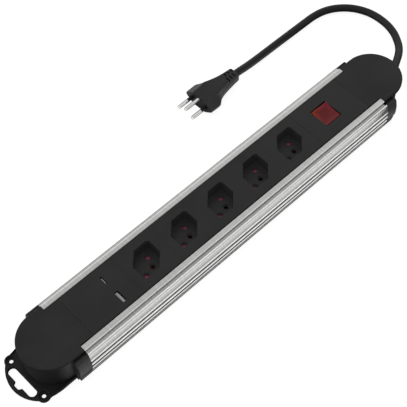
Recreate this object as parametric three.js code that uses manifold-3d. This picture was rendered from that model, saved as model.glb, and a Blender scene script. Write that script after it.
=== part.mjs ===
// Desk power strip: aluminium channel, five recessed three-pin sockets set at 45 degrees,
// a USB charger module, an illuminated rocker switch, two end caps, a wall bracket and a
// flexible cord with a moulded three-pin plug.
//
// Units are millimetres and +Z is up. X runs along the strip towards the cord end, and the
// origin is the centre of the channel's underside. "Near" is the -X end, "far" the cord end,
// and "left" is the +Y side.
import * as THREE from 'three';
import { mergeVertices } from 'three/addons/utils/BufferGeometryUtils.js';
import Module from 'manifold-3d';

const wasm = await Module();
wasm.setup();

// ---------------------------------------------------------------- driving dimensions
const TOP = 36.0;                 // height of the lands, panels and caps
const PROFILE_HALF = 189.5;       // half length of the aluminium channel
const GAP = 0.3;                  // assembly gap between neighbouring pieces
const PANEL_Y = 23.35;            // half width of the black panels between the lands
const FLANGE_Y = 27.9;            // half width of the flange that slides under the lands
const FLANGE_Z = [31.3, 33.7];
const FLOOR = 2.2;                // thickness of the channel's floor
const CAP_SCREW_X = 181.5;
const CAP_SCREW_Y = 17.0;
const BRACKET_SCREW_X = -206.0;
const BRACKET_SCREW_Y = 14.0;
const BRACKET_T = 3.0;            // thickness of the wall bracket
const BASE_T = 2.6;               // thickness of the cord end's base
const FAR_CENTRE = 205.5;         // X of the centre of the cord end's round
const PIN_SPACING = 19.0;         // live to neutral
const EARTH_OFFSET = 5.0;         // earth pin to the live-neutral line
const CORD_R = 4.0;
const CORD_Z = 12.0;              // height of the cord where it enters the far cap
const SIDES = [-1, 1];
const HANDS = [['left', 1], ['right', -1]];

const rad = THREE.MathUtils.degToRad;

// ---------------------------------------------------------------- solids and meshes
function toSolid(geometry) {
  for (const name of Object.keys(geometry.attributes)) {
    if (name !== 'position') geometry.deleteAttribute(name);
  }
  const welded = mergeVertices(geometry, 1e-4);
  return new wasm.Manifold(new wasm.Mesh({
    numProp: 3,
    vertProperties: new Float32Array(welded.attributes.position.array),
    triVerts: new Uint32Array(welded.index.array),
  }));
}

function toGeometry(solid) {
  const { numProp, vertProperties, triVerts } = solid.getMesh();
  const count = vertProperties.length / numProp;
  const positions = new Float32Array(count * 3);
  for (let i = 0; i < count; i++) {
    for (let k = 0; k < 3; k++) positions[3 * i + k] = vertProperties[numProp * i + k];
  }
  const geometry = new THREE.BufferGeometry();
  geometry.setAttribute('position', new THREE.BufferAttribute(positions, 3));
  geometry.setIndex(new THREE.BufferAttribute(new Uint32Array(triVerts), 1));
  return geometry;
}

const join = (...solids) => solids.reduce((a, b) => a.add(b));
const cut = (solid, ...tools) => tools.reduce((a, b) => a.subtract(b), solid);

const group = new THREE.Group();

function addGeometry(parent, name, geometry, finish) {
  const mesh = new THREE.Mesh(geometry, new THREE.MeshStandardMaterial(finish));
  mesh.name = name;
  parent.add(mesh);
  return mesh;
}
const add = (parent, name, solid, finish) =>
  addGeometry(parent, name, toGeometry(solid), finish);

function addGroup(x, y, z) {
  const child = new THREE.Group();
  child.position.set(x, y, z);
  group.add(child);
  return child;
}

const FINISH = {
  black: { color: 0x1c1c1d, roughness: 0.55, metalness: 0 },
  aluminium: { color: 0xc9cac6, roughness: 0.35, metalness: 1 },
  steel: { color: 0xb9bbbd, roughness: 0.3, metalness: 1 },
  brass: { color: 0xb5893f, roughness: 0.35, metalness: 1 },
  nickel: { color: 0xd4d4d2, roughness: 0.2, metalness: 1 },
  rubber: { color: 0x19191a, roughness: 0.7, metalness: 0 },
  shutterRed: { color: 0xb01828, roughness: 0.4, metalness: 0 },
  boardGreen: { color: 0x1f5a34, roughness: 0.5, metalness: 0 },
  transformerYellow: { color: 0xd8b13a, roughness: 0.5, metalness: 0 },
  capacitorBlue: { color: 0x23303f, roughness: 0.4, metalness: 0.1 },
  usbATongue: { color: 0xb4b4b2, roughness: 0.5, metalness: 0 },
  usbCTongue: { color: 0xb4b4b2, roughness: 0.4, metalness: 0 },
  switchHousing: { color: 0x202021, roughness: 0.6, metalness: 0 },
  rockerRed: { color: 0x8e1417, roughness: 0.25, metalness: 0 },
  lampOrange: { color: 0xe8703a, roughness: 0.2, metalness: 0 },
  linerGrey: { color: 0x8f8f8c, roughness: 0.7, metalness: 0 },
  clamp: { color: 0x2b2b2b, roughness: 0.6, metalness: 0 },
  wireBrown: { color: 0x6b3a1e, roughness: 0.5, metalness: 0 },
  wireBlue: { color: 0x2550a8, roughness: 0.5, metalness: 0 },
  wireGreen: { color: 0x9aa52a, roughness: 0.5, metalness: 0 },
  plug: { color: 0x1b1b1c, roughness: 0.5, metalness: 0 },
};

// ---------------------------------------------------------------- outlines
// A range is a pair of limits along one axis.
const about = (centre, half) => [centre - half, centre + half];
const ordered = (range) => [Math.min(...range), Math.max(...range)];

function arc(cx, cy, radius, startDeg, endDeg, steps) {
  const points = [];
  for (let i = 0; i <= steps; i++) {
    const angle = rad(startDeg + (endDeg - startDeg) * i / steps);
    points.push([cx + radius * Math.cos(angle), cy + radius * Math.sin(angle)]);
  }
  return points;
}
const rectangle = ([x0, x1], [y0, y1]) => [[x0, y0], [x1, y0], [x1, y1], [x0, y1]];

// axis 0 negates the first coordinate of each point, axis 1 the second
const mirror = (points, axis) =>
  points.map((point) => point.map((v, i) => (i === axis ? -v : v))).reverse();
const withMirror = (half, axis) => [...half, ...mirror(half, axis)];

// ---------------------------------------------------------------- shapes
const shapeOf = (points) => new THREE.Shape(points.map(([a, b]) => new THREE.Vector2(a, b)));
const extrude = (points, [start, end]) =>
  new THREE.ExtrudeGeometry(shapeOf(points), { depth: end - start, bevelEnabled: false });
const extrudeZ = (points, z) => extrude(points, z).translate(0, 0, z[0]);
const prismZ = (points, z) => toSolid(extrudeZ(points, z));

const X_AXIS = new THREE.Vector3(1, 0, 0);
const Y_AXIS = new THREE.Vector3(0, 1, 0);
const Z_AXIS = new THREE.Vector3(0, 0, 1);

// prism of a (y, z) section running along X
function prismX(points, range) {
  const x = ordered(range);
  const turn = new THREE.Matrix4().makeBasis(Y_AXIS, Z_AXIS, X_AXIS);
  return toSolid(extrude(points, x).applyMatrix4(turn).translate(x[0], 0, 0));
}
// prism of an (x, z) section running along Y
function prismY(points, y) {
  const turn = new THREE.Matrix4().makeBasis(X_AXIS, Z_AXIS, Y_AXIS.clone().negate());
  return toSolid(extrude(points, y).applyMatrix4(turn).translate(0, y[1], 0));
}
function box(...ranges) {
  const [x, y, z] = ranges.map(ordered);
  const geometry = new THREE.BoxGeometry(x[1] - x[0], y[1] - y[0], z[1] - z[0]);
  geometry.translate((x[0] + x[1]) / 2, (y[0] + y[1]) / 2, (z[0] + z[1]) / 2);
  return toSolid(geometry);
}
// box given by its centre, width in X and length in Y
const slab = ([x, y], [width, length], z) => box(about(x, width / 2), about(y, length / 2), z);
// the same with half-round ends in Y
function roundedSlab([x, y], [width, length], z) {
  const radius = width / 2;
  const reach = length / 2 - radius;
  const outline = [
    ...arc(x, y + reach, radius, 0, 180, 6),
    ...arc(x, y - reach, radius, 180, 360, 6),
  ];
  return prismZ(outline, z);
}
function cylZ([x, y], radius, [z0, z1], segments = 16, topRadius = radius) {
  const geometry = new THREE.CylinderGeometry(topRadius, radius, z1 - z0, segments);
  return toSolid(geometry.rotateX(Math.PI / 2).translate(x, y, (z0 + z1) / 2));
}
function cylX([y, z], radius, [x0, x1], segments = 16) {
  const geometry = new THREE.CylinderGeometry(radius, radius, x1 - x0, segments);
  return toSolid(geometry.rotateZ(-Math.PI / 2).translate((x0 + x1) / 2, y, z));
}
// solid of revolution about Z from (radius, z) points that start and end on the axis
function turned(points, segments) {
  const outline = points.map(([r, z]) => new THREE.Vector2(r, z));
  return toSolid(new THREE.LatheGeometry(outline, segments).rotateX(Math.PI / 2));
}
// round cord through the points
function sweep(points, radius, steps, segments) {
  const stations = points.map((point) => new THREE.Vector3(...point));
  const extrudePath = new THREE.CatmullRomCurve3(stations, false, 'centripetal');
  const ring = arc(0, 0, radius, 0, 360 - 360 / segments, segments - 1);
  return new THREE.ExtrudeGeometry(shapeOf(ring), { steps, extrudePath, bevelEnabled: false });
}
// clearance hole and conical sink, entered from the underside
const sunkHole = (at) => [
  cylZ(at, 1.9, [-1, 6]),
  cylZ(at, 3.9, [-0.5, 1.6], 16, 1.8),
];
const crossRecess = (reach, half, z) => join(
  box(about(0, reach), about(0, half), z),
  box(about(0, half), about(0, reach), z),
);

// ---------------------------------------------------------------- aluminium channel
const BARREL_Y = 36.3;            // greatest half width of the bulging sides
const BARREL_Z = 18;              // height of the greatest width
const LOWER_BULGE_R = 50;
const UPPER_BULGE_R = 42;

// Point (y, z) on the bulging side at height z, set in by depth.
function onBarrel(z, depth = 0) {
  const radius = z < BARREL_Z ? LOWER_BULGE_R : UPPER_BULGE_R;
  const drop = radius - Math.sqrt(radius * radius - (z - BARREL_Z) * (z - BARREL_Z));
  return [BARREL_Y - drop - depth, z];
}
// [z, depth] up the ribbed side; negative depths are raised ribs
const RIBS = [
  [2.2, 0], [2.6, 0], [2.9, 0.5], [3.7, 0.5], [4.0, 0],
  [5.0, 0], [5.3, 0.5], [6.1, 0.5], [6.4, 0],
  [7.2, 0], [7.6, 0.9], [9.0, 0.9], [9.4, 0],
  [10.6, -0.2], [12.6, -0.2], [14.0, 0], [14.5, 1.3], [16.4, 1.3], [16.9, 0],
  [17.8, -0.25], [19.6, -0.25], [20.5, 0], [21.0, 1.3], [22.8, 1.3], [23.3, 0],
  [24.1, -0.2], [25.6, -0.2], [26.5, 0], [26.75, 0.35], [27.0, 0],
  [28.4, -0.25], [30.4, -0.25], [31.8, 0],
];
// (y, z) half section for y > 0, from the underside up the side, over the land and down inside
const CHANNEL_HALF = [
  [33.2, 0], [33.6, 0.5],
  ...RIBS.map(([z, depth]) => onBarrel(z, depth)),
  [33.1, 33.5], [32.6, 34.0], [32.0, 33.7], [31.5, 33.0], [30.5, 33.0], [30.1, 33.3],
  [29.8, 34.0], [29.3, 35.7], [29.0, TOP], [24.4, TOP], [24.1, 35.7],
  [24.1, 34.0], [28.2, 34.0], [28.2, 31.0], [26.0, 31.0], [26.0, 29.4], [32.2, 29.4],
  [33.5, 25.0], [33.8, 18.0], [33.2, 9.0], [32.0, 3.2], [31.2, FLOOR],
];

function channel() {
  let solid = prismX(withMirror(CHANNEL_HALF, 0), about(0, PROFILE_HALF));
  for (const end of SIDES) {
    for (const side of SIDES) {
      solid = cut(solid, ...sunkHole([end * CAP_SCREW_X, side * CAP_SCREW_Y]));
    }
  }
  return solid;
}
add(group, 'aluminium_profile', channel(), FINISH.aluminium);

// ---------------------------------------------------------------- end caps
const CAP_R = 29.5;               // radius of the rounded cap ends
const CAP_WALL = 2.6;
const RIM_Z = 32.5;               // underside of the cord end's overhanging rim
const TONGUE = 15.0;              // length of each cap's tongue between the lands
const BLOCK_END = 202.5;          // |x| where the side blocks stop
const PILOT_R = 1.75;
const CAP_BOSS_R = 4.0;
const BRACKET_BOSS_R = 3.6;

// (y, z) section for y > 0 of the blocks that carry on the channel's sides
const BLOCK_SECTION = [
  [29.0, 0.0], [33.2, 0.0], [33.6, 0.5], onBarrel(9.0), onBarrel(9.4, 1.2),
  onBarrel(10.9, 1.2), onBarrel(11.3), onBarrel(18), onBarrel(25), onBarrel(30.0),
  [33.2, 32.0], [31.6, 32.2], [31.2, 31.2], [24.8, 31.2], [24.8, 3.6], [29.0, 3.6],
];

// D-shaped plan, straight at the shoulder; end is -1 for the near cap and +1 for the cord end
function capPlan({ end, shoulder, centre }, radius) {
  const plan = [
    [shoulder * end, -radius],
    ...arc(centre * end, 0, radius, -90, 90, 16),
    [shoulder * end, radius],
  ];
  return plan.map(([x, y]) => [end * x, end * y]);
}
// D-shaped prism that narrows from radius at the top to footRadius at the bottom
function taperedCap(place, [z0, z1], radius, footRadius) {
  const geometry = extrudeZ(capPlan(place, radius), [z0, z1]);
  const position = geometry.attributes.position;
  for (let i = 0; i < position.count; i++) {
    const offset = position.getX(i) - place.centre;
    const depth = (z1 - position.getZ(i)) / (z1 - z0);
    const scale = 1 + (footRadius / radius - 1) * depth;
    position.setY(i, position.getY(i) * scale);
    if (place.end * offset > 0) position.setX(i, place.centre + offset * scale);
  }
  return toSolid(geometry);
}
// A wall radius smaller than CAP_R leaves an overhanging rim at the top.
function capBody({ end, centre, bottom, wallRadius, footRadius }) {
  const shoulder = end * (PROFILE_HALF + GAP);
  const place = { end, shoulder, centre };
  let outer = taperedCap(place, [bottom, TOP], wallRadius, footRadius);
  if (wallRadius < CAP_R) outer = join(outer, prismZ(capPlan(place, CAP_R), [RIM_Z, TOP]));
  const hollow = taperedCap({ ...place, shoulder: shoulder + end * 2.4 },
    [bottom - 1, TOP - CAP_WALL], wallRadius - CAP_WALL, footRadius - CAP_WALL);
  const mouth = box([shoulder - end, shoulder + end * 4], about(0, 22), [bottom - 1, 30.5]);
  const tongueX = [shoulder + end, end * (PROFILE_HALF - TONGUE + 0.15)];
  const tongue = join(
    box(tongueX, about(0, PANEL_Y), [32.4, TOP]),
    box(tongueX, about(0, FLANGE_Y), FLANGE_Z),
  );
  let solid = join(cut(outer, hollow, mouth), tongue);
  for (const side of SIDES) {
    const section = side > 0 ? BLOCK_SECTION : mirror(BLOCK_SECTION, 0);
    const boss = [end * CAP_SCREW_X, side * CAP_SCREW_Y];
    solid = join(solid,
      cylZ(boss, CAP_BOSS_R, [FLOOR + GAP, 32.0], 14),
      prismX(section, [shoulder, end * BLOCK_END]));
    // the shadow line runs on round the end of the block
    solid = cut(solid, box([end * 201.4, end * 204], [side * 31.0, side * 40], [9.3, 11.0]));
  }
  for (const side of SIDES) {
    solid = cut(solid, cylZ([end * CAP_SCREW_X, side * CAP_SCREW_Y], PILOT_R, [0, 18], 12));
  }
  return solid;
}

function nearCap() {
  const bottom = BRACKET_T + GAP;
  let solid = capBody({ end: -1, centre: -203, bottom, wallRadius: CAP_R, footRadius: 27.2 });
  for (const side of SIDES) {
    const at = [BRACKET_SCREW_X, side * BRACKET_SCREW_Y];
    solid = join(solid, cylZ(at, BRACKET_BOSS_R, [bottom, 34.0], 14));
    solid = cut(solid, cylZ(at, PILOT_R, [0, 16], 12));
  }
  return solid;
}
add(group, 'near_end_cap', nearCap(), FINISH.black);

function farCap() {
  const bottom = BASE_T + GAP;
  const body = capBody({
    end: 1, centre: FAR_CENTRE, bottom, wallRadius: 26.3, footRadius: 25.6,
  });
  const cordHole = cylX([0, CORD_Z], 5.6, [222, 240], 20);
  return cut(body, cordHole);
}
add(group, 'far_end_cap', farCap(), FINISH.black);

// base of the cord end, with two bosses for the cord clamp
const CLAMP_X = 218.0;
const CLAMP_Y = 8.6;              // clamp screws, either side of the cord
const BASE_R = 26.4;

function farBase() {
  const round = [
    [200.0, -BASE_R],
    ...arc(FAR_CENTRE, 0, BASE_R, -90, 90, 24),
    [200.0, BASE_R],
  ];
  let solid = join(
    box([PROFILE_HALF + 2 * GAP, 202.3], about(0, 28.7), [0, BASE_T]),
    prismZ(round, [0, BASE_T]),
  );
  for (const side of SIDES) {
    const at = [CLAMP_X, side * CLAMP_Y];
    solid = join(solid, cylZ(at, 3.4, [BASE_T - 0.5, 15.6], 12));
    solid = cut(solid, cylZ(at, 1.6, [5, 20], 10));
  }
  return solid;
}
add(group, 'far_end_base', farBase(), FINISH.black);

// ---------------------------------------------------------------- wall bracket
const BRACKET_Y = 28.9;           // half width at the channel end
const EAR = { x: -233.3, y: 22.3, radius: 5.9, holeR: 1.9, sinkR: 4.1, sinkZ: 1.5 };
const SLOT = { x: -238.65, y: 13.4, radius: 3.9 };   // centres of the slot's round ends
const NOSE = { x: -216.95, radius: 31.9, halfAngle: 45.9 };

// (x, y) along the +Y edge, towards the -X end
const BRACKET_EDGE = [[-218, BRACKET_Y], [-224, 28.3], [-228.5, 27.4], [-231.5, 27.2]];
// (x, y) outline of the raised lip on the +Y side
const LIP = [
  [-203.2, BRACKET_Y], ...BRACKET_EDGE.slice(0, 3), [-230.6, 27.25],
  [-230.6, 26.35], [-228.4, 26.5], [-223.9, 27.4], [-217.9, 28.0], [-203.2, 28.0],
];

function bracket() {
  const plate = withMirror([[-190.1, BRACKET_Y], ...BRACKET_EDGE], 1);
  const nose = [
    [-222, 23.0],
    ...arc(NOSE.x, 0, NOSE.radius, 180 - NOSE.halfAngle, 180 + NOSE.halfAngle, 24),
    [-222, -23.0],
  ];
  let solid = join(prismZ(plate, [0, BRACKET_T]), prismZ(nose, [0, BRACKET_T]));
  for (const side of SIDES) {
    solid = join(solid,
      cylZ([EAR.x, side * EAR.y], EAR.radius, [0, BRACKET_T], 28),
      prismZ(side > 0 ? LIP : mirror(LIP, 1), [1, BRACKET_T + 1.2]));
  }
  // long slot with rounded ends and a central bump towards -X
  const slotHalf = [
    ...arc(SLOT.x, SLOT.y, SLOT.radius, 0, 180, 10),
    [SLOT.x - SLOT.radius, 5.0], [-244.0, 4.3], [-245.6, 2.2],
  ];
  solid = cut(solid, prismZ(withMirror(slotHalf, 1), [-1, 6]));
  for (const side of SIDES) {
    const ear = [EAR.x, side * EAR.y];
    solid = cut(solid,
      cylZ(ear, EAR.holeR, [-1, 6]),
      cylZ(ear, EAR.sinkR, [EAR.sinkZ, 6], 24),
      ...sunkHole([BRACKET_SCREW_X, side * BRACKET_SCREW_Y]));
  }
  return solid;
}
add(group, 'mounting_bracket', bracket(), FINISH.black);

// ---------------------------------------------------------------- countersunk screws
// head down, shank up, cross recess in the head
function screwUp(length) {
  const body = turned([
    [0, 0.15], [2.75, 0.15], [2.75, 0.3], [1.4, 1.65],
    [1.4, length - 1.2], [0.2, length], [0, length],
  ], 10);
  return cut(body, crossRecess(1.9, 0.35, [-0.5, 1.2]));
}
// [name, x, y, length]
const SCREWS = [
  ['near_cap_screw', -CAP_SCREW_X, CAP_SCREW_Y, 14],
  ['far_cap_screw', CAP_SCREW_X, CAP_SCREW_Y, 14],
  ['bracket_screw', BRACKET_SCREW_X, BRACKET_SCREW_Y, 13],
];
for (const [name, x, y, length] of SCREWS) {
  for (const [hand, side] of HANDS) {
    const mesh = add(group, `${name}_${hand}`, screwUp(length), FINISH.steel);
    mesh.position.set(x, side * y, 0);
  }
}

// ---------------------------------------------------------------- module blank
// panel between the lands, flanges under the lands, and two long skirts
const SKIRT_BOTTOM = 22.0;
const BLANK_HALF = [
  [21.4, 33.2], [21.4, SKIRT_BOTTOM], [23.4, SKIRT_BOTTOM], [23.4, FLANGE_Z[0]],
  [FLANGE_Y, FLANGE_Z[0]], [FLANGE_Y, FLANGE_Z[1]], [PANEL_Y, FLANGE_Z[1]], [PANEL_Y, TOP],
];
const blank = (x) => prismX(withMirror(BLANK_HALF, 0), x);

// ---------------------------------------------------------------- sockets
// Drawn with the recess's long axis along X, then turned 45 degrees on the strip.
const PITCH = 45.35;
const FIRST_SOCKET_X = -93.5;
const SOCKETS = 5;
const RECESS_FLOOR = TOP - 12.5;
const RECESS_UNDER = RECESS_FLOOR - 2.2;
const PIN_HOLE_R = 2.2;
const PIN_SINK_R = 3.0;
const SHUTTER_TRAVEL = 5.5;
const SHUTTER_HOLE_R = 2.7;

const turn45 = (points) =>
  points.map(([a, b]) => [(a - b) * Math.SQRT1_2, (a + b) * Math.SQRT1_2]);

const PIN_X = PIN_SPACING / 2;
const pinHoles = turn45([[PIN_X, 0], [-PIN_X, 0], [0, -EARTH_OFFSET]]);

// long hexagon with its two tips cut flat, grown outwards by margin
const recessOutline = (margin) => turn45(withMirror([
  [18.6 + margin, 1.4], [8.2 + 0.4 * margin, 11.6 + margin],
  [-8.2 - 0.4 * margin, 11.6 + margin], [-18.6 - margin, 1.4],
], 1));

function socketModule() {
  let solid = join(
    blank(about(0, PITCH / 2 - 0.1)),
    prismZ(recessOutline(1.6), [RECESS_UNDER, 34.0]),
    // stop for the shutter spring
    prismZ(turn45(rectangle([-4, 4], [12.6, 14.4])), [19.4, 25.0]),
    prismZ(turn45(rectangle([-4, 4], [12.0, 14.4])), [22.0, 25.0]),
  );
  solid = cut(solid, prismZ(recessOutline(0), [RECESS_FLOOR, TOP + 1]));
  for (const at of pinHoles) {
    solid = cut(solid,
      cylZ(at, PIN_HOLE_R, [18, 30]),
      cylZ(at, PIN_SINK_R, [RECESS_FLOOR - 1.2, 30]));
  }
  return solid;
}
function shutterPlate() {
  const plate = turn45(rectangle([-12.4, 12.4], [-15.4, 3.4]));
  let solid = prismZ(plate, [19.6, RECESS_UNDER - GAP]);
  for (const at of turn45([[PIN_X, -SHUTTER_TRAVEL], [-PIN_X, -SHUTTER_TRAVEL]])) {
    solid = cut(solid, cylZ(at, SHUTTER_HOLE_R, [18, 23], 12));
  }
  // the earth pin passes at both ends of the travel, through a slot
  const slot = [
    ...arc(0, -EARTH_OFFSET, SHUTTER_HOLE_R, 0, 180, 6),
    ...arc(0, -EARTH_OFFSET - SHUTTER_TRAVEL, SHUTTER_HOLE_R, 180, 360, 6),
  ];
  return cut(solid, prismZ(turn45(slot), [18, 23]));
}
// flat zigzag return spring between the shutter and its stop
function shutterSpring() {
  const halfWidth = 0.7;
  const line = [[-2.6, 4.0], [2.6, 5.6], [-2.6, 7.2], [2.6, 8.8], [-2.6, 10.4], [0.6, 12.2]];
  const right = line.map(([x, y]) => [x + halfWidth, y]);
  const left = line.map(([x, y]) => [x - halfWidth, y]).reverse();
  return extrudeZ(turn45([...right, ...left]), [19.7, 20.9]);
}
const socketX = (i) => FIRST_SOCKET_X + PITCH * i;
const socketSolid = socketModule();
const shutterSolid = shutterPlate();
for (let i = 0; i < SOCKETS; i++) {
  const socket = addGroup(socketX(i), 0, 0);
  add(socket, `socket_module_${i + 1}`, socketSolid, FINISH.black);
  add(socket, `socket_shutter_${i + 1}`, shutterSolid, FINISH.shutterRed);
  addGeometry(socket, `shutter_spring_${i + 1}`, shutterSpring(), FINISH.steel);
}

// ---------------------------------------------------------------- USB charger module
const USB_X = [-174.5, -116.2];
const USB_A = [-134.0, -11.8];
const USB_C = [-134.5, 10.5];
const BOARD_Z = [17.4, 19.0];
const UNDER_BOARD = BOARD_Z[0] - GAP;
const PORT_Z = BOARD_Z[1] + GAP;  // underside of the receptacles
const PORT_WALL = 0.3;

const usbPanel = () => cut(
  blank([USB_X[0] + 0.15, USB_X[1] - 0.1]),
  slab([USB_A[0] - 0.3, USB_A[1]], [4.1, 12.4], [30, 40]),
  roundedSlab(USB_C, [2.4, 8.5], [30, 40]),
);
const transformer = () => cut(
  box([-166, -150], [-9, 9], [5.2, UNDER_BOARD]),
  box([-167, -164.5], [-5, 5], [7, 15]),
  box([-151.5, -149], [-5, 5], [7, 15]),
);
// open-topped shell; prism is slab or roundedSlab
const receptacle = (prism, at, [width, length]) => cut(
  prism(at, [width, length], [PORT_Z, 33.0]),
  prism(at, [width - 2 * PORT_WALL, length - 2 * PORT_WALL], [PORT_Z + 1.2, 40]),
);

add(group, 'usb_charger_panel', usbPanel(), FINISH.black);
add(group, 'usb_circuit_board', box([-172, -120], [-19.5, 19.5], BOARD_Z), FINISH.boardGreen);
add(group, 'usb_transformer', transformer(), FINISH.transformerYellow);
add(group, 'usb_capacitor', cylZ([-141, 12], 4.2, [5.4, UNDER_BOARD], 18), FINISH.capacitorBlue);
add(group, 'usb_a_receptacle', receptacle(slab, USB_A, [5.7, 13.2]), FINISH.nickel);
add(group, 'usb_a_tongue',
  slab([USB_A[0] - 0.75, USB_A[1]], [2.6, 11.4], [PORT_Z + 1.5, 34.9]), FINISH.usbATongue);
add(group, 'usb_c_receptacle', receptacle(roundedSlab, USB_C, [3.3, 9.1]), FINISH.nickel);
add(group, 'usb_c_tongue', slab(USB_C, [0.7, 6.4], [PORT_Z + 1.5, 34.6]), FINISH.usbCTongue);

// ---------------------------------------------------------------- switch module
const SWITCH_X = [110.7, 174.5];
const ROCKER_X = 138.7;
const ROCKER_Y = 0.4;
const ROCKER = [ROCKER_X, ROCKER_Y];
const ROCKER_Z = 30.5;            // height of the rocker's pivot
const ROCKER_TILT = 8.0;
const HOUSING_SIZE = [24.8, 26.4];
const HOUSING_WALL = 1.4;
const HOUSING_BOTTOM = 6.0;
const LEVER_Z = 11.5;
const LEVER_TILT = 9.0;
const LOAD_Y = ROCKER_Y + 8.0;    // load terminal, under the lever's +Y end
const LIVE_BAR_END = 125;

const switchPanel = () => cut(
  join(
    blank([SWITCH_X[0] + 0.1, SWITCH_X[1] - 0.15]),
    slab(ROCKER, HOUSING_SIZE, [29.2, 34]),
  ),
  slab(ROCKER, [20.4, 22.6], [20, 40]),
  cylX([ROCKER_Y, ROCKER_Z], 1.9, about(ROCKER_X, 11.7), 20),
);
add(group, 'switch_panel', switchPanel(), FINISH.black);

// open-topped box with a slot in its floor for each terminal
const switchHousing = () => cut(
  slab(ROCKER, HOUSING_SIZE, [HOUSING_BOTTOM, 28.9]),
  slab(ROCKER, HOUSING_SIZE.map((size) => size - 2 * HOUSING_WALL),
    [HOUSING_BOTTOM + HOUSING_WALL, 30]),
  slab(ROCKER, [5.6, 1.8], [5, 9]),
  slab([ROCKER_X, LOAD_Y], [5.6, 1.8], [5, 9]),
);
add(group, 'switch_housing', switchHousing(), FINISH.switchHousing);

// The rocker is drawn level about its pivot; the tilt raises the +Y side.
function rocker() {
  // (y, z) for y > 0, from the foot of the stem round to the dished top
  const half = [
    [0.9, -17.6], [1.1, -5.2], [4.5, -4.4], [9.3, -1.6], [10.0, 5.9], [7.0, 5.1], [3.5, 4.55],
  ];
  const cap = prismX([...half, [0, 4.4], ...mirror(half, 0)], about(0, 9.85));
  // narrows the stem to its middle part
  const trims = SIDES.map((side) => box([side * 2.2, side * 12], [-2.5, 2.5], [-19, -5.4]));
  const pivot = cylX([0, 0], 1.5, about(0, 11.3), 14);
  return join(cut(cap, ...trims), pivot);
}
const rockerGroup = addGroup(ROCKER_X, ROCKER_Y, ROCKER_Z);
rockerGroup.rotation.x = rad(ROCKER_TILT);
add(rockerGroup, 'switch_rocker', rocker(), FINISH.rockerRed);

const lamp = cylX([ROCKER_Y + 8.6, 21.2], 1.9, about(ROCKER_X, 6), 12);
add(group, 'switch_lamp', lamp, FINISH.lampOrange);

// plate with a contact pad under its +Y end, drawn level
const contactLever = () => join(
  box(about(0, 2.2), about(0, 8.8), [-0.4, 0.4]),
  box(about(0, 2.2), [6.6, 8.8], [-0.8, 0.3]),
);
const leverGroup = addGroup(ROCKER_X, ROCKER_Y, LEVER_Z);
leverGroup.rotation.x = rad(-LEVER_TILT);
add(leverGroup, 'switch_contact_lever', contactLever(), FINISH.brass);

const TERMINAL = { halfWidth: 2.4, halfBlade: 0.5, halfFoot: 1.8, footZ: [4.4, 5.4] };

// upright blade at y, up to bladeTop, with a flat foot over the range footX
const terminal = (y, bladeTop, footX) => join(
  box(about(ROCKER_X, TERMINAL.halfWidth), about(y, TERMINAL.halfBlade),
    [TERMINAL.footZ[0], bladeTop]),
  box(footX, about(y, TERMINAL.halfFoot), TERMINAL.footZ),
);
// blade under the lever's pivot, foot running out towards the cord
const lineTerminal = () =>
  terminal(ROCKER_Y, 10.7, [ROCKER_X - TERMINAL.halfWidth, ROCKER_X + 17.0]);
// blade under the lever's end, foot running back to a riser at the live busbar
function loadTerminal() {
  const riserX = [LIVE_BAR_END - 4, LIVE_BAR_END];
  const riserY = LOAD_Y - TERMINAL.halfFoot;
  return join(
    terminal(LOAD_Y, 8.8, [riserX[0], ROCKER_X + TERMINAL.halfWidth]),
    box(riserX, [riserY, riserY + 1], [TERMINAL.footZ[0], 13.0]),
  );
}
add(group, 'switch_line_terminal', lineTerminal(), FINISH.brass);
add(group, 'switch_load_terminal', loadTerminal(), FINISH.brass);

// ---------------------------------------------------------------- busbars and liner
// strip over the ranges x and y, with a split pin barrel under each socket
function busbar(x, y, [pinX, pinY]) {
  const barrels = [];
  for (let i = 0; i < SOCKETS; i++) barrels.push([socketX(i) + pinX, pinY]);
  let solid = box(x, y, [8.0, 14.0]);
  for (const at of barrels) solid = join(solid, cylZ(at, 3.2, [6.0, 18.6], 8));
  for (const at of barrels) {
    solid = cut(solid, cylZ(at, 2.4, [7.5, 20], 8), slab(at, [8, 0.6], [15, 20]));
  }
  return solid;
}
const [livePin, neutralPin, earthPin] = pinHoles;
add(group, 'live_busbar', busbar([-118, LIVE_BAR_END], [9.2, 10.0], livePin), FINISH.brass);
add(group, 'neutral_busbar', busbar([-118, 105], [-10.0, -9.2], neutralPin), FINISH.brass);
add(group, 'earth_busbar', busbar([-112, 105], [-1.2, -0.4], earthPin), FINISH.brass);

// sheet over the channel's floor with two upright walls
const liner = () => join(
  box(about(0, 172), about(0, 30.4), [2.5, 3.9]),
  ...SIDES.map((side) => box([-114, 108], [side * 12.6, side * 14.0], [3.0, 19.2])),
);
add(group, 'insulating_liner', liner(), FINISH.linerGrey);

// ---------------------------------------------------------------- cord end
const cordClamp = () => cut(
  slab([CLAMP_X, 0], [8, 25.2], [15.9, 19.6]),
  cylX([0, CORD_Z], 4.4, about(CLAMP_X, 5), 20),
  ...SIDES.map((side) => cylZ([CLAMP_X, side * CLAMP_Y], 1.8, [10, 25], 12)),
);
add(group, 'cord_clamp', cordClamp(), FINISH.clamp);

// point down, head on top
const clampScrew = () => cut(
  turned([
    [0, 6.2], [0.2, 6.2], [1.35, 7.4], [1.35, 19.9],
    [2.9, 19.9], [2.9, 21.2], [2.3, 21.9], [0, 21.9],
  ], 10),
  crossRecess(1.7, 0.3, [21.0, 23]),
);
for (const [hand, side] of HANDS) {
  const mesh = add(group, `clamp_screw_${hand}`, clampScrew(), FINISH.steel);
  mesh.position.set(CLAMP_X, side * CLAMP_Y, 0);
}

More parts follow.
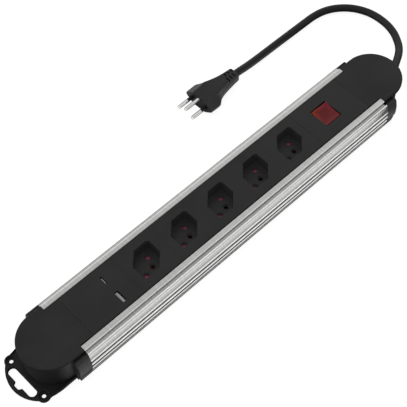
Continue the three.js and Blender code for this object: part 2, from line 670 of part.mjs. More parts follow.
// sleeve and collar round the cord
const grommet = () => cut(
  join(
    cylX([0, CORD_Z], 5.35, [226.5, 237.0]),
    cylX([0, CORD_Z], 6.8, [231.9, 233.9]),
  ),
  cylX([0, CORD_Z], CORD_R + 0.35, [222, 245]),
);
add(group, 'cord_grommet', grommet(), FINISH.rubber);

// (x, y, z) stations of the cord's centre line, from inside the far cap to the plug
const CORD_PATH = [
  [208.5, 0, 12], [222, 0, 12], [234, 0, 12], [239.5, 0.4, 12], [244.5, 2.0, 11.7],
  [249.8, 4.6, 11.0], [255.1, 7.4, 10.0], [261.3, 10.6, 8.6], [267.3, 14.0, 7.2],
  [273.0, 17.9, 6.0], [279.0, 23.4, 4.9], [284.3, 30.2, 4.2], [288.6, 37.2, 4.0],
  [291.6, 45.0, 4.0], [293.4, 53, 4.0], [294.0, 61, 4.0], [293.7, 69.0, 4.0],
  [292.3, 76.4, 4.0], [289.2, 84.6, 4.0], [284.9, 92.1, 4.0], [279.4, 98.6, 4.0],
  [272.8, 104.2, 4.0], [265.0, 108.8, 4.0], [256.1, 111.9, 4.0], [245.2, 113.5, 4.0],
  [233, 113.75, 4.0], [208.6, 113.8, 4.0], [184.6, 113.9, 4.0], [172, 113.75, 4.15],
  [160, 113.4, 4.8], [150, 112.95, 5.8], [141.5, 112.6, 7.0], [133, 112.5, 8.1],
  [126, 112.45, 8.58], [117.5, 112.33, 8.6],
];
addGeometry(group, 'mains_cord', sweep(CORD_PATH, CORD_R, 76, 12), FINISH.rubber);

// each path lists (x, y, z) stations from the cord's end into the channel
const WIRE_R = 1.2;
const WIRES = [
  { name: 'live_wire', finish: FINISH.wireBrown, steps: 10, path: [
    [208, 0, 14.0], [200, 0.4, 13.5], [190, 0.4, 11], [176, 0.4, 7], [166, 0.4, 5.6],
    [156.2, 0.4, 5.6],
  ] },
  { name: 'neutral_wire', finish: FINISH.wireBlue, steps: 18, path: [
    [208, -1.9, 11.0], [200, -4, 11], [188, -8, 11.5], [177, -10.3, 12], [167, -15, 12],
    [150, -17.2, 12], [128, -16.5, 12], [115, -11.4, 11.5], [109.5, -9.8, 11],
    [105.8, -9.6, 11],
  ] },
  { name: 'earth_wire', finish: FINISH.wireGreen, steps: 22, path: [
    [208, 1.9, 11.0], [200, 4, 10.5], [188, 8, 10], [177, 10.3, 10], [168, 15, 10],
    [158, 18.2, 10], [128, 18.2, 9.5], [119, 14, 6.6], [114, 5, 6.2], [111, 0.4, 8.5],
    [106.4, -0.8, 11],
  ] },
];
for (const { name, finish, steps, path } of WIRES) {
  addGeometry(group, name, sweep(path, WIRE_R, steps, 6), finish);
}

// ---------------------------------------------------------------- plug
// local frame: front face at x = 0, the live-neutral plane at z = 0, pins pointing to -x
// [name, y, z, sleeved]
const PLUG_PINS = [
  ['live', PIN_X, 0, true],
  ['neutral', -PIN_X, 0, true],
  ['earth', 0, EARTH_OFFSET, false],
];
// (x, y) plan of the -Y side, (x, z) profile of the underside, (y, z) front for z > 0
const PLUG_PLAN = [
  [0, -18.0], [13.0, -18.5], [14.6, -17.8], [16.0, -15.8], [17.6, -13.9],
  [20.4, -12.0], [24.5, -10.4], [31, -8.9], [40, -7.7], [51.5, -6.7],
];
const PLUG_PROFILE = [[0, -8.3], [20, -8.3], [34, -7.2], [51.5, -5.9]];
const PLUG_FRONT = [[18.6, 1.2], [8.6, 8.4], [-8.6, 8.4], [-18.6, 1.2]];

function plugBody() {
  let solid = prismZ(withMirror(PLUG_PLAN, 1), [-10, 10])
    .intersect(prismY(withMirror(PLUG_PROFILE, 1), [-25, 25]))
    .intersect(prismX(withMirror(PLUG_FRONT, 1), [-1, 60]));
  solid = cut(solid, cylX([0, 0], CORD_R + 0.3, [40, 60]));
  for (const [, y, z] of PLUG_PINS) solid = cut(solid, cylX([y, z], 2.3, [-1, 8], 14));
  // strain-relief grooves on the neck, staggered by half their pitch
  const pitch = 4.2;
  for (let i = 0; i < 3; i++) {
    for (const side of SIDES) {
      const x = 37.5 + pitch * i + (side > 0 ? pitch / 2 : 0);
      for (const face of SIDES) {
        solid = cut(solid, box([x, x + 1.3], [side * 0.8, side * 12], [face * 5.1, face * 12]));
      }
    }
  }
  return solid;
}
// drawn along +Z; a sleeved pin is thinner where the sleeve sits
function plugPin(sleeved) {
  const root = sleeved ? [[0, -7], [1.25, -7], [1.25, 6.4], [2.0, 6.4]] : [[0, -7], [2.0, -7]];
  return turned([...root, [2.0, 17.6], [1.6, 18.6], [0.9, 19.0], [0, 19.0]], 14);
}
const pinSleeve = (y) => cut(
  cylX([y, 0], 1.95, [-6.1, 6.5], 14),
  cylX([y, 0], 1.55, [-8, 8], 14),
);

const plug = addGroup(75.9, 111.6, 8.6);
plug.rotation.z = rad(1.0);
add(plug, 'plug_body', plugBody(), FINISH.plug);
for (const [name, y, z, sleeved] of PLUG_PINS) {
  const mesh = add(plug, `plug_${name}_pin`, plugPin(sleeved), FINISH.nickel);
  mesh.position.set(0, y, z);
  mesh.rotation.y = -Math.PI / 2;
}
for (const [name, y, , sleeved] of PLUG_PINS) {
  if (sleeved) add(plug, `plug_${name}_sleeve`, pinSleeve(y), FINISH.black);
}

export default group;
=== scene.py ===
# Desk power strip with five sockets, a USB charger and a rocker switch. The aluminium channel
# lies along X on z = 0 with its open top facing +Z. The near cap (-X) stands on the wall bracket.
# The mains cord leaves the far cap (+X), bends round to +Y and runs back towards -X to its plug.
# Lengths are millimetres; MM turns them into metres. Shader distances are metres.
import math
import bpy
import bmesh
from mathutils import Vector, Matrix


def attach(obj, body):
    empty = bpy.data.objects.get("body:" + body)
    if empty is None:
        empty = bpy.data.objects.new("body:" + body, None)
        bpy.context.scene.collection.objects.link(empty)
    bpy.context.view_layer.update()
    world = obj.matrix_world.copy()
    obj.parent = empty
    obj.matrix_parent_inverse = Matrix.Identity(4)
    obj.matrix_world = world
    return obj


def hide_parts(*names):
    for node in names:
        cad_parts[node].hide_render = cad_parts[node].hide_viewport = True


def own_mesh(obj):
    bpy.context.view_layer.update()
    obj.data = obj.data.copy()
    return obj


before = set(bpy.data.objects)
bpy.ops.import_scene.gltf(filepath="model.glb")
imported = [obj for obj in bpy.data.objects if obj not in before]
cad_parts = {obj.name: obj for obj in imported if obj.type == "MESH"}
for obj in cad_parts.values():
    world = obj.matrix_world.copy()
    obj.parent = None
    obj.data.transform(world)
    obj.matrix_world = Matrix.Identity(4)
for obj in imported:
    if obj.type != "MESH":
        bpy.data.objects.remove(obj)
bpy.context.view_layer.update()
scene = bpy.context.scene

MM = 0.001
ROOT_HALF = math.sqrt(0.5)
TOP = 36.0                              # top face of the strip
CHANNEL_END = 189.5                     # channel runs from -CHANNEL_END to +CHANNEL_END
SHOULDER = 189.8                        # where an end cap meets the channel, either side
TONGUE_END = 174.62                     # inner end of a cap's tongue
MODULE_END = 174.42                     # outer end of the outermost modules
TONGUE_Y = 23.35                        # half width of the tongues and module tops
WING_Y, WING_LOW, WING_HIGH = 27.9, 31.3, 33.7    # side wings held under the channel's ledges
CAP_SCREW_X, CAP_SCREW_Y = 181.5, 17.0
BRACKET_SCREW_X, BRACKET_SCREW_Y = -206.0, 14.0
CLAMP_SCREW_X, CLAMP_SCREW_Y = 218.0, 8.6
FAR_ROUND_X = 205.5                     # centre of the far cap's round end
SOCKET_XS = [-93.5 + 45.35 * i for i in range(5)]
USB_A, USB_C = (-134.0, -11.8), (-134.5, 10.5)
ROCKER_X, ROCKER_Y, ROCKER_Z = 138.7, 0.4, 30.5   # pivot
ROCKER_TILT = 8.0                       # degrees
CORD_EXIT_Z = 12.0
PIN_Y, EARTH_OFFSET = 9.5, 5.0          # live and neutral from the middle, earth off their line


# ------------------------------------------------------------------ meshes
def recalc_normals(mesh):
    work = bmesh.new()
    work.from_mesh(mesh)
    bmesh.ops.recalc_face_normals(work, faces=work.faces)
    work.to_mesh(mesh)
    work.free()


def make(verts, faces, name="part"):
    mesh = bpy.data.meshes.new(name)
    mesh.from_pydata([(v[0] * MM, v[1] * MM, v[2] * MM) for v in verts], [], faces)
    mesh.update()
    ob = bpy.data.objects.new(name, mesh)
    scene.collection.objects.link(ob)
    recalc_normals(mesh)
    return ob


def loft(rings, closed=False):
    """Skin through rings of equal length, capped at both ends or joined end to start."""
    size, count = len(rings[0]), len(rings)
    faces = []
    for i in range(count if closed else count - 1):
        here, there = i * size, (i + 1) % count * size
        for j in range(size):
            k = (j + 1) % size
            faces.append((here + j, here + k, there + k, there + j))
    if not closed:
        faces.append(tuple(range(size))[::-1])
        last = (count - 1) * size
        faces.append(tuple(last + j for j in range(size)))
    return make([point for ring in rings for point in ring], faces)


def level(outline, z):
    """Flat ring of an (x, y) outline at height z."""
    return [(x, y, z) for x, y in outline]


def left_normal(start, end):
    dx, dy = end[0] - start[0], end[1] - start[1]
    length = math.hypot(dx, dy) or 1e-9
    return -dy / length, dx / length


def inset(outline, depth):
    """Moves a counter-clockwise outline inwards by depth, along mitred corner directions."""
    result = []
    for i, corner in enumerate(outline):
        normal = left_normal(outline[i - 1], corner)
        following = left_normal(corner, outline[(i + 1) % len(outline)])
        mitre = (normal[0] + following[0], normal[1] + following[1])
        square = mitre[0] * mitre[0] + mitre[1] * mitre[1]
        if square < 0.2:  # nearly doubled back: a mitre would shoot away
            mitre, shift = normal, depth
        else:
            shift = depth * 2.0 / square
        result.append((corner[0] + mitre[0] * shift, corner[1] + mitre[1] * shift))
    return result


def ccw(outline):
    area = 0.5 * sum(outline[i - 1][0] * outline[i][1] - outline[i][0] * outline[i - 1][1]
                     for i in range(len(outline)))
    return list(outline) if area > 0 else list(outline)[::-1]


def rounded(points, steps=5):
    """Closed outline of (x, y, radius) corners, each filleted in the given steps."""
    result = []
    for i, (x, y, radius) in enumerate(points):
        before, after = points[i - 1], points[(i + 1) % len(points)]
        back = Vector((before[0] - x, before[1] - y))
        ahead = Vector((after[0] - x, after[1] - y))
        back_len, ahead_len = back.length, ahead.length
        if not radius or back_len < 1e-6 or ahead_len < 1e-6:
            result.append((x, y))
            continue
        back.normalize()
        ahead.normalize()
        angle = math.acos(max(-1, min(1, back.dot(ahead))))
        if math.pi - angle < 0.03:  # as good as straight
            result.append((x, y))
            continue
        reach = min(radius / math.tan(angle / 2), 0.49 * back_len, 0.49 * ahead_len)
        fitted = reach * math.tan(angle / 2)
        corner = Vector((x, y))
        center = corner + (back + ahead).normalized() * (fitted / math.sin(angle / 2))
        start = corner + back * reach - center
        end = corner + ahead * reach - center
        first, last = math.atan2(start.y, start.x), math.atan2(end.y, end.x)
        sweep_angle = (last - first + math.pi) % (2 * math.pi) - math.pi
        for k in range(steps + 1):
            turn = first + sweep_angle * k / steps
            result.append((center.x + fitted * math.cos(turn), center.y + fitted * math.sin(turn)))
    return result


def rect(center, width, length, radius, steps=5):
    """Rounded rectangle: width along x, length along y."""
    x, y = center
    return rounded([(x - width / 2, y - length / 2, radius), (x + width / 2, y - length / 2, radius),
                    (x + width / 2, y + length / 2, radius),
                    (x - width / 2, y + length / 2, radius)], steps)


def octagon(tip, tip_half, flat_half, side, radius):
    """Corners of a flattened octagon with narrow tips at +-x and long flats at +-y."""
    return [(tip, -tip_half, radius), (tip, tip_half, radius), (flat_half, side, radius),
            (-flat_half, side, radius), (-tip, tip_half, radius), (-tip, -tip_half, radius),
            (-flat_half, -side, radius), (flat_half, -side, radius)]


def turn45(points):
    return [((p[0] - p[1]) * ROOT_HALF, (p[0] + p[1]) * ROOT_HALF) + tuple(p[2:]) for p in points]


def mirrored(points):
    return [(-a, b, radius) for a, b, radius in reversed(points)]


def span(sign, near, far):
    """Range from near to far out from the middle, on the side given by sign, in rising order."""
    return sorted((sign * near, sign * far))


def arc(cx, cy, radius, start, end, steps):
    """Points along an arc between two angles in degrees."""
    angles = [math.radians(start + (end - start) * i / steps) for i in range(steps + 1)]
    return [(cx + radius * math.cos(turn), cy + radius * math.sin(turn)) for turn in angles]


def sharp(points):
    return [(a, b, 0) for a, b in points]


def prism(outline, axis, low, high, round_low=0.0, round_high=0.0, steps=3):
    """Outline swept along axis from low to high, with rounded edges at either end."""
    outline = ccw(outline)
    place = {"z": lambda p, t: (p[0], p[1], t),
             "x": lambda p, t: (t, p[0], p[1]),
             "y": lambda p, t: (p[0], t, p[1])}[axis]

    def ring(at, depth):
        return [place(p, at) for p in inset(outline, depth)]

    turns = [math.pi / 2 * i / steps for i in range(steps + 1)]
    rings = [ring(low, 0.0)]
    if round_low > 0:
        rings = [ring(low + round_low * (1 - math.cos(turn)), round_low * (1 - math.sin(turn)))
                 for turn in turns]
    if round_high > 0:
        rings += [ring(high - round_high * (1 - math.sin(turn)), round_high * (1 - math.cos(turn)))
                  for turn in turns]
    else:
        rings.append(ring(high, 0.0))
    return loft(rings)


def block(x0, x1, y0, y1, z0, z1):
    return prism([(x0, y0), (x1, y0), (x1, y1), (x0, y1)], "z", z0, z1)


def rod(axis, a, b, radius, low, high, count=32, round_low=0.0, round_high=0.0):
    circle = arc(a, b, radius, 0, 360 - 360 / count, count - 1)
    return prism(circle, axis, low, high, round_low, round_high)


def turned(profile, count=32):
    """Solid of revolution about Z of (radius, z) points that start and end on the axis."""
    verts, faces, rows = [], [], []
    for radius, z in profile:
        if radius < 1e-6:
            rows.append([len(verts)])
            verts.append((0, 0, z))
        else:
            rows.append(list(range(len(verts), len(verts) + count)))
            verts += [(radius * math.cos(2 * math.pi * k / count),
                       radius * math.sin(2 * math.pi * k / count), z) for k in range(count)]
    for low, high in zip(rows, rows[1:]):
        if len(low) == 1 and len(high) == 1:
            continue
        for k in range(count):
            j = (k + 1) % count
            if len(low) == 1:
                faces.append((low[0], high[j], high[k]))
            elif len(high) == 1:
                faces.append((low[k], low[j], high[0]))
            else:
                faces.append((low[k], low[j], high[j], high[k]))
    return make(verts, faces)


def tube(profile, count=40):
    """Ring of revolution about Z of a closed (radius, z) outline."""
    return loft([[(radius * math.cos(2 * math.pi * k / count),
                   radius * math.sin(2 * math.pi * k / count), z) for radius, z in profile]
                 for k in range(count)], closed=True)


def offset(x=0, y=0, z=0):
    return Matrix.Translation((x * MM, y * MM, z * MM))


def placed(ob, matrix):
    ob.data.transform(matrix)
    return ob


def moved(ob, x=0, y=0):
    return placed(ob, offset(x, y))


def discard(ob):
    mesh = ob.data
    bpy.data.objects.remove(ob)
    bpy.data.meshes.remove(mesh)


def boolean(ob, tools, operation):
    for tool in tools:
        step = ob.modifiers.new("b", "BOOLEAN")
        step.operation = operation
        step.object = tool
        step.solver = "MANIFOLD"
    bpy.context.view_layer.update()
    graph = bpy.context.evaluated_depsgraph_get()
    mesh = bpy.data.meshes.new_from_object(ob.evaluated_get(graph), depsgraph=graph)
    ob.modifiers.clear()
    old = ob.data
    ob.data = mesh
    bpy.data.meshes.remove(old)
    for tool in tools:
        discard(tool)


def cut(ob, *tools):
    boolean(ob, tools, "DIFFERENCE")


def join(ob, *tools):
    boolean(ob, tools, "UNION")


def dress(ob, name, surface, replaced, angle=32, body="housing"):
    """Names the piece, shades it, gives it its surface and ties it to the frame."""
    ob.name = name
    ob.data.name = name
    ob.data.shade_smooth()
    ob.data.set_sharp_from_angle(angle=math.radians(angle))
    weighted = ob.modifiers.new("normals", "WEIGHTED_NORMAL")
    weighted.keep_sharp = True
    weighted.weight = 80
    ob.data.materials.clear()
    ob.data.materials.append(surfaces[surface].data)
    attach(ob, body)
    if replaced:
        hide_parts(replaced)


# ------------------------------------------------------------------ node helpers
class Graph:
    """Adds nodes to a node tree. A value for an input may be a number, a tuple or an output."""

    def __init__(self, tree):
        self.tree = tree

    def feed(self, socket, value):
        if isinstance(value, bpy.types.NodeSocket):
            self.tree.links.new(value, socket)
        elif socket.type == "RGBA":
            socket.default_value = (*value, 1)
        else:
            socket.default_value = value

    def node(self, kind, inputs=None, **props):
        node = self.tree.nodes.new("ShaderNode" + kind)
        for key, value in props.items():
            setattr(node, key, value)
        for key, value in (inputs or {}).items():
            self.feed(node.inputs[key], value)
        return node

    def remap(self, value, span, to=(0.0, 1.0), **props):
        """Maps the range span onto the range to, clamped."""
        return self.node("MapRange", {
            "From Min": span[0], "From Max": span[1], "To Min": to[0], "To Max": to[1],
            "Value": value}, **props).outputs["Result"]

    def calc(self, operation, *values):
        return self.node("Math", dict(enumerate(values)), operation=operation).outputs[0]

    def mix_color(self, factor, color_a, color_b):
        # sockets 6, 7 and output 2 are the colour ones of the Mix node
        return self.node("Mix", {0: factor, 6: color_a, 7: color_b}, data_type="RGBA").outputs[2]

    def mix_value(self, factor, value_a, value_b):
        return self.node("Mix", {0: factor, 2: value_a, 3: value_b}).outputs[0]

    def scaled(self, color, factor):
        return self.node("VectorMath", {0: color, "Scale": factor},
                         operation="SCALE").outputs["Vector"]

    def split(self, vector):
        return self.node("SeparateXYZ", {0: vector}).outputs

    def ramp(self, factor, stops):
        """Grey ramp through (position, value) stops."""
        node = self.node("ValToRGB", {"Fac": factor})
        elements = node.color_ramp.elements
        while len(elements) < len(stops):
            elements.new(0.5)
        for element, (position, value) in zip(elements, stops):
            element.position = position
            element.color = (value, value, value, 1)
        return node.outputs["Color"]


surfaces = {}


class Surface(Graph):
    """A material built round Principled BSDF, kept in surfaces under its name."""

    def __init__(self, name, color, rough, metal=0.0):
        self.data = bpy.data.materials.new(name)
        self.data.use_nodes = True
        super().__init__(self.data.node_tree)
        self.shader = self.tree.nodes["Principled BSDF"]
        self.set({"Base Color": color, "Roughness": rough, "Metallic": metal})
        self.coord = self.node("TexCoord").outputs["Object"]
        surfaces[name] = self

    def set(self, inputs):
        for key, value in inputs.items():
            self.feed(self.shader.inputs[key], value)

    def base(self):
        """Whatever drives the base colour now."""
        return self.shader.inputs["Base Color"].links[0].from_socket

    def noise(self, scale, detail=3.0, rough=0.55, vec=None):
        return self.node("TexNoise", {
            "Scale": scale, "Detail": detail, "Roughness": rough,
            "Vector": self.coord if vec is None else vec}).outputs["Fac"]

    def stretched(self, scale, detail, rough):
        """Noise stretched by a separate scale along each axis."""
        mapping = self.node("Mapping", {"Scale": scale, "Vector": self.coord})
        return self.noise(1.0, detail, rough, mapping.outputs["Vector"])

    def bump(self, height, dist, strength, under=None):
        inputs = {"Distance": dist, "Strength": strength, "Height": height}
        if under is not None:
            inputs["Normal"] = under
        return self.node("Bump", inputs).outputs["Normal"]

    def edge(self):
        """1 near edges, 0 elsewhere: how far a rounded normal departs from the true one."""
        soft = self.node("Bevel", {"Radius": 0.0005}, samples=4).outputs["Normal"]
        true = self.node("NewGeometry").outputs["Normal"]
        dot = self.node("VectorMath", {0: soft, 1: true}, operation="DOT_PRODUCT")
        return self.remap(dot.outputs["Value"], span=(0.985, 0.80))

    def radial_tangent(self):
        return self.node("Tangent", direction_type="RADIAL", axis="X").outputs["Tangent"]


def tinted(color, gain, add=0.0):
    return tuple(min(1, c * gain + add) for c in color)


# ------------------------------------------------------------------ materials
# name, base colour, roughness, specular level, grain strength, edge wear
PLASTICS = [
    ("cap_plastic", (0.0285, 0.0285, 0.0288), 0.50, 0.22, 1.0, 0.5),
    ("panel_plastic", (0.0222, 0.0222, 0.0222), 0.46, 0.32, 1.0, 0.5),
    ("socket_plastic", (0.0215, 0.0213, 0.0214), 0.46, 0.32, 1.0, 0.5),
    ("bracket_plastic", (0.0165, 0.0165, 0.0168), 0.5, 0.22, 1.0, 0.5),
    ("inner_plastic", (0.016, 0.016, 0.017), 0.55, 0.3, 1.0, 0.0),
    ("shutter_plastic", (0.46, 0.075, 0.15), 0.40, 0.4, 0.4, 0.3),
    ("liner_plastic", (0.28, 0.28, 0.27), 0.6, 0.3, 1.0, 0.2),
    ("cord_pvc", (0.0145, 0.0145, 0.0150), 0.50, 0.34, 0.8, 0.0),
    ("plug_pvc", (0.0320, 0.0320, 0.0324), 0.50, 0.20, 0.8, 0.35),
    ("sleeve_plastic", (0.012, 0.012, 0.0125), 0.42, 0.35, 0.4, 0.3),
    ("insulator_white", (0.70, 0.69, 0.65), 0.45, 0.4, 0.3, 0.0),
    ("insulator_grey", (0.52, 0.52, 0.50), 0.4, 0.4, 0.3, 0.0),
    ("wire_brown_pvc", (0.16, 0.055, 0.02), 0.4, 0.4, 0.3, 0.0),
    ("wire_blue_pvc", (0.02, 0.08, 0.38), 0.4, 0.4, 0.3, 0.0),
    ("capacitor_sleeve", (0.02, 0.035, 0.09), 0.3, 0.5, 0.3, 0.2),
    ("transformer_tape", (0.62, 0.40, 0.05), 0.45, 0.4, 0.6, 0.2),
]


def plastic(name, color, rough, spec, grain, wear):
    """Moulded plastic: fine grain, faint mottling, rubbed edges a little paler."""
    mat = Surface(name, color, rough)
    mat.set({"Specular IOR Level": spec})
    cloud = mat.noise(scale=28, detail=4, rough=0.6)
    fine = mat.noise(scale=5200, detail=2, rough=0.5)
    medium = mat.noise(scale=900, detail=3, rough=0.6)
    base = mat.mix_color(mat.remap(cloud, span=(0.3, 0.7)), tinted(color, gain=1 - 0.15),
                         tinted(color, gain=1 + 0.15, add=0.0006))
    if wear:
        worn = mat.calc("MULTIPLY", mat.edge(), wear)
        base = mat.mix_color(worn, base, tinted(color, gain=1.9, add=0.006))
    gloss = mat.remap(medium, span=(0.3, 0.7), to=(rough - 0.05, rough + 0.06))
    normal = mat.bump(fine, dist=0.00006, strength=0.22 * grain)
    normal = mat.bump(medium, dist=0.00012, strength=0.10 * grain, under=normal)
    mat.set({"Base Color": base, "Roughness": gloss, "Normal": normal})


def metal(name, color, rough, vary, streak=None, bump=0.3):
    """Metal with fine lines along streak, a scale for each axis, or even speckle without it."""
    mat = Surface(name, color, rough, metal=1.0)
    if streak:
        lines = mat.stretched(streak, detail=3, rough=0.6)
    else:
        lines = mat.noise(scale=400, detail=3, rough=0.6)
    cloud = mat.noise(scale=60, detail=4, rough=0.6)
    pattern = mat.calc("ADD", mat.calc("MULTIPLY", lines, 0.65), mat.calc("MULTIPLY", cloud, 0.35))
    mat.set({
        "Base Color": mat.mix_color(mat.remap(pattern, span=(0.3, 0.7)),
                                    tinted(color, gain=1 - vary), tinted(color, gain=1 + vary)),
        "Roughness": mat.remap(lines, span=(0.25, 0.75), to=(rough * 0.8, rough * 1.25)),
        "Normal": mat.bump(lines, dist=0.00004, strength=bump)})


def paint_plug_shade_and_light():
    """Painted shade and light: the plug's -X face, round the pins, is darkened and its -Y flank is
    lightened.
    """
    mat = surfaces["plug_pvc"]
    base = mat.base()
    normal = mat.split(mat.node("NewGeometry").outputs["True Normal"])
    face = mat.remap(normal["X"], span=(-0.6, -0.9), to=(1.0, 0.10))
    base = mat.scaled(base, face)
    flank_painted_light = mat.remap(normal["Y"], span=(-0.35, -0.75), to=(1.0, 2.3))
    mat.set({"Base Color": mat.scaled(base, flank_painted_light)})


def lift_socket_recess():
    """Light that bounces about inside the recesses, fading out just below the top face."""
    mat = surfaces["socket_plastic"]
    position = mat.split(mat.node("NewGeometry").outputs["Position"])
    mat.set({"Emission Color": (1, 1, 1),
             "Emission Strength": mat.remap(position["Z"], span=(0.0358, 0.0345),
                                            to=(0.0, 0.0048))})


def tone_caps():
    """Beyond y = -30 mm the side blocks catch the light; -Y faces inside that line do not."""
    mat = surfaces["cap_plastic"]
    base = mat.base()
    geometry = mat.node("NewGeometry")
    position = mat.split(geometry.outputs["Position"])
    normal = mat.split(geometry.outputs["True Normal"])
    on_block = mat.remap(position["Y"], span=(-0.0300, -0.0304))
    wall_gain = mat.remap(normal["Y"], span=(-0.3, -0.85), to=(1.0, 0.55))
    block_gain = 1.75
    mat.set({"Base Color": mat.scaled(base, mat.mix_value(on_block, wall_gain, block_gain))})


def pin_nickel():
    """Bright turned nickel with painted shade, nearly black at the turned-away edges and tips, and a
    painted highlight glowing on the faces turned to the camera.
    """
    mat = Surface("pin_nickel", color=(0.9, 0.9, 0.88), rough=0.06, metal=1.0)
    # Painted shade and highlight: the edge mask blackens the base colour where the surface turns
    # away from the camera, and elsewhere a faint emission glows.
    facing = mat.node("LayerWeight", {"Blend": 0.5}).outputs["Facing"]
    edge = mat.calc("MULTIPLY", mat.remap(facing, span=(0.16, 0.50)),
                    mat.remap(mat.noise(scale=500, detail=2), span=(0.3, 0.7), to=(0.9, 1.0)))
    glow = 0.12
    mat.set({
        "Base Color": mat.mix_color(edge, (0.97, 0.96, 0.94), (0.05, 0.05, 0.05)),
        "Emission Color": (1, 1, 1),
        "Emission Strength": mat.calc("MULTIPLY", mat.calc("SUBTRACT", 1.0, edge), glow),
        "Roughness": mat.remap(mat.noise(scale=900, detail=2), span=(0.3, 0.7), to=(0.05, 0.09))})


def anodised_aluminium():
    """Satin extrusion: long die lines, fine speckle, light cross chatter, painted shade in the
    grooves.
    """
    mat = Surface("anodised_aluminium", color=(0.70, 0.705, 0.69), rough=0.22, metal=1.0)
    die = mat.stretched((6, 2600, 2600), detail=4, rough=0.65)
    speck = mat.noise(scale=1500, detail=3, rough=0.7)
    chatter = mat.stretched((420, 30, 30), detail=3, rough=0.6)
    # shares of the three patterns
    pattern = mat.calc("ADD", mat.calc("MULTIPLY", die, 0.45),
                       mat.calc("ADD", mat.calc("MULTIPLY", speck, 0.35),
                                mat.calc("MULTIPLY", chatter, 0.20)))
    base = mat.mix_color(mat.remap(pattern, span=(0.34, 0.66)),
                         (0.48, 0.485, 0.47), (0.98, 0.983, 0.97))
    # Painted shade: ambient occlusion darkens the base colour in the grooves, and more so in those
    # below z = 18 mm.
    occlusion = mat.node("AmbientOcclusion", {"Distance": 0.0040}, samples=8)
    place = mat.split(mat.coord)
    side = mat.remap(place["Y"], span=(-0.005, 0.005), to=(0.8, 1.0))
    # the painted groove shade is kept off the topmost faces, a little less so on the -Y side
    lift = mat.calc("MULTIPLY", mat.remap(place["Z"], span=(0.0316, 0.0324)), side)
    lower = mat.remap(place["Z"], span=(0.0185, 0.0165), to=(0.0, 0.06))
    openness = mat.calc("SUBTRACT", occlusion.outputs["AO"], lower)
    shade = mat.calc("MAXIMUM", mat.remap(openness, span=(0.58, 0.88), to=(0.01, 1.0)), lift)
    color = mat.mix_color(shade, (0.0, 0.0, 0.0), base)
    rough = mat.remap(pattern, span=(0.3, 0.7), to=(0.15, 0.24))
    normal = mat.bump(die, dist=0.00004, strength=0.22)
    normal = mat.bump(speck, dist=0.00004, strength=0.20, under=normal)
    mat.set({"Base Color": color, "Roughness": rough, "Normal": normal,
             "Anisotropic": 0.3, "Tangent": mat.radial_tangent()})


def rocker_polycarbonate():
    """Tinted clear plastic, deep red in the middle, with painted light: brighter where light gathers
    at the rims and at the -X end, darker at the lower -Y end.
    """
    mat = Surface("rocker_polycarbonate", color=(0.25, 0.012, 0.016), rough=0.22)
    mat.set({"Specular IOR Level": 0.28, "Coat Weight": 0.05, "Coat Roughness": 0.20,
             "Subsurface Weight": 0.25, "Subsurface Radius": (1.0, 0.12, 0.08),
             "Subsurface Scale": 0.003})
    place = mat.split(mat.coord)
    from_x = mat.calc("ABSOLUTE", mat.calc("SUBTRACT", place["X"], ROCKER_X * MM))
    from_y = mat.calc("ABSOLUTE", mat.calc("SUBTRACT", place["Y"], ROCKER_Y * MM))
    edge = mat.calc("MAXIMUM", mat.remap(from_x, span=(0.0045, 0.0098)),
                    mat.remap(from_y, span=(0.0045, 0.0100)))
    blotch = mat.noise(scale=140, detail=3, rough=0.5)
    gather = mat.calc("MULTIPLY", edge, mat.remap(blotch, span=(0.3, 0.7), to=(0.5, 1.1)))
    # Painted light and shade: the -X end is brighter and warmer, and the -Y end is darker.
    painted_end_light = mat.mix_color(mat.remap(place["X"], span=(0.133, 0.145)),
                         (0.46, 0.050, 0.018), (0.36, 0.014, 0.060))
    rim = mat.mix_color(mat.remap(place["Y"], span=(-0.004, 0.006)), (0.24, 0.014, 0.018), painted_end_light)
    color = mat.mix_color(gather, (0.175, 0.009, 0.011), rim)
    rough = mat.remap(mat.noise(scale=900, detail=3), span=(0.3, 0.7), to=(0.18, 0.30))
    wave = mat.noise(scale=260, detail=3, rough=0.5)
    mat.set({"Base Color": color, "Roughness": rough,
             "Normal": mat.bump(wave, dist=0.0002, strength=0.10)})


def neon_glass():
    mat = Surface("neon_glass", color=(0.95, 0.45, 0.22), rough=0.05)
    mat.set({
        "Transmission Weight": 0.7, "Emission Color": (1.0, 0.30, 0.10), "Emission Strength": 0.6,
        "Base Color": mat.mix_color(mat.remap(mat.noise(scale=400, detail=3), span=(0.3, 0.7)),
                                    (0.95, 0.5, 0.3), (0.8, 0.3, 0.15)),
        "Roughness": mat.remap(mat.noise(scale=800, detail=2), span=(0.3, 0.7), to=(0.03, 0.12))})


def glass_fibre_board():
    """Green board with a woven grain and paler tracks."""
    mat = Surface("glass_fibre_board", color=(0.02, 0.12, 0.045), rough=0.35)
    weave = mat.stretched((3000, 600, 600), detail=2, rough=0.5)
    tracks = mat.node("TexBrick", {"Scale": 240, "Mortar Size": 0.03, "Vector": mat.coord})
    track_strength = 0.6
    track = mat.calc("MULTIPLY", tracks.outputs["Fac"], track_strength)
    green = mat.mix_color(mat.remap(weave, span=(0.3, 0.7)),
                          (0.015, 0.09, 0.035), (0.03, 0.15, 0.06))
    mat.set({"Base Color": mat.mix_color(track, green, (0.10, 0.24, 0.08)),
             "Normal": mat.bump(weave, dist=0.00005, strength=0.3),
             "Roughness": mat.remap(weave, span=(0.3, 0.7), to=(0.28, 0.42))})


def earth_insulation():
    """Green and yellow bands."""
    mat = Surface("wire_earth_pvc", color=(0.1, 0.3, 0.02), rough=0.4)
    bands = mat.node("TexWave", {"Scale": 260, "Vector": mat.coord},
                     wave_type="BANDS", bands_direction="DIAGONAL").outputs["Fac"]
    grain = mat.noise(scale=2500, detail=2)
    mat.set({"Base Color": mat.mix_color(mat.remap(bands, span=(0.45, 0.55)),
                                         (0.03, 0.25, 0.03), (0.62, 0.55, 0.02)),
             "Normal": mat.bump(grain, dist=0.00005, strength=0.2)})


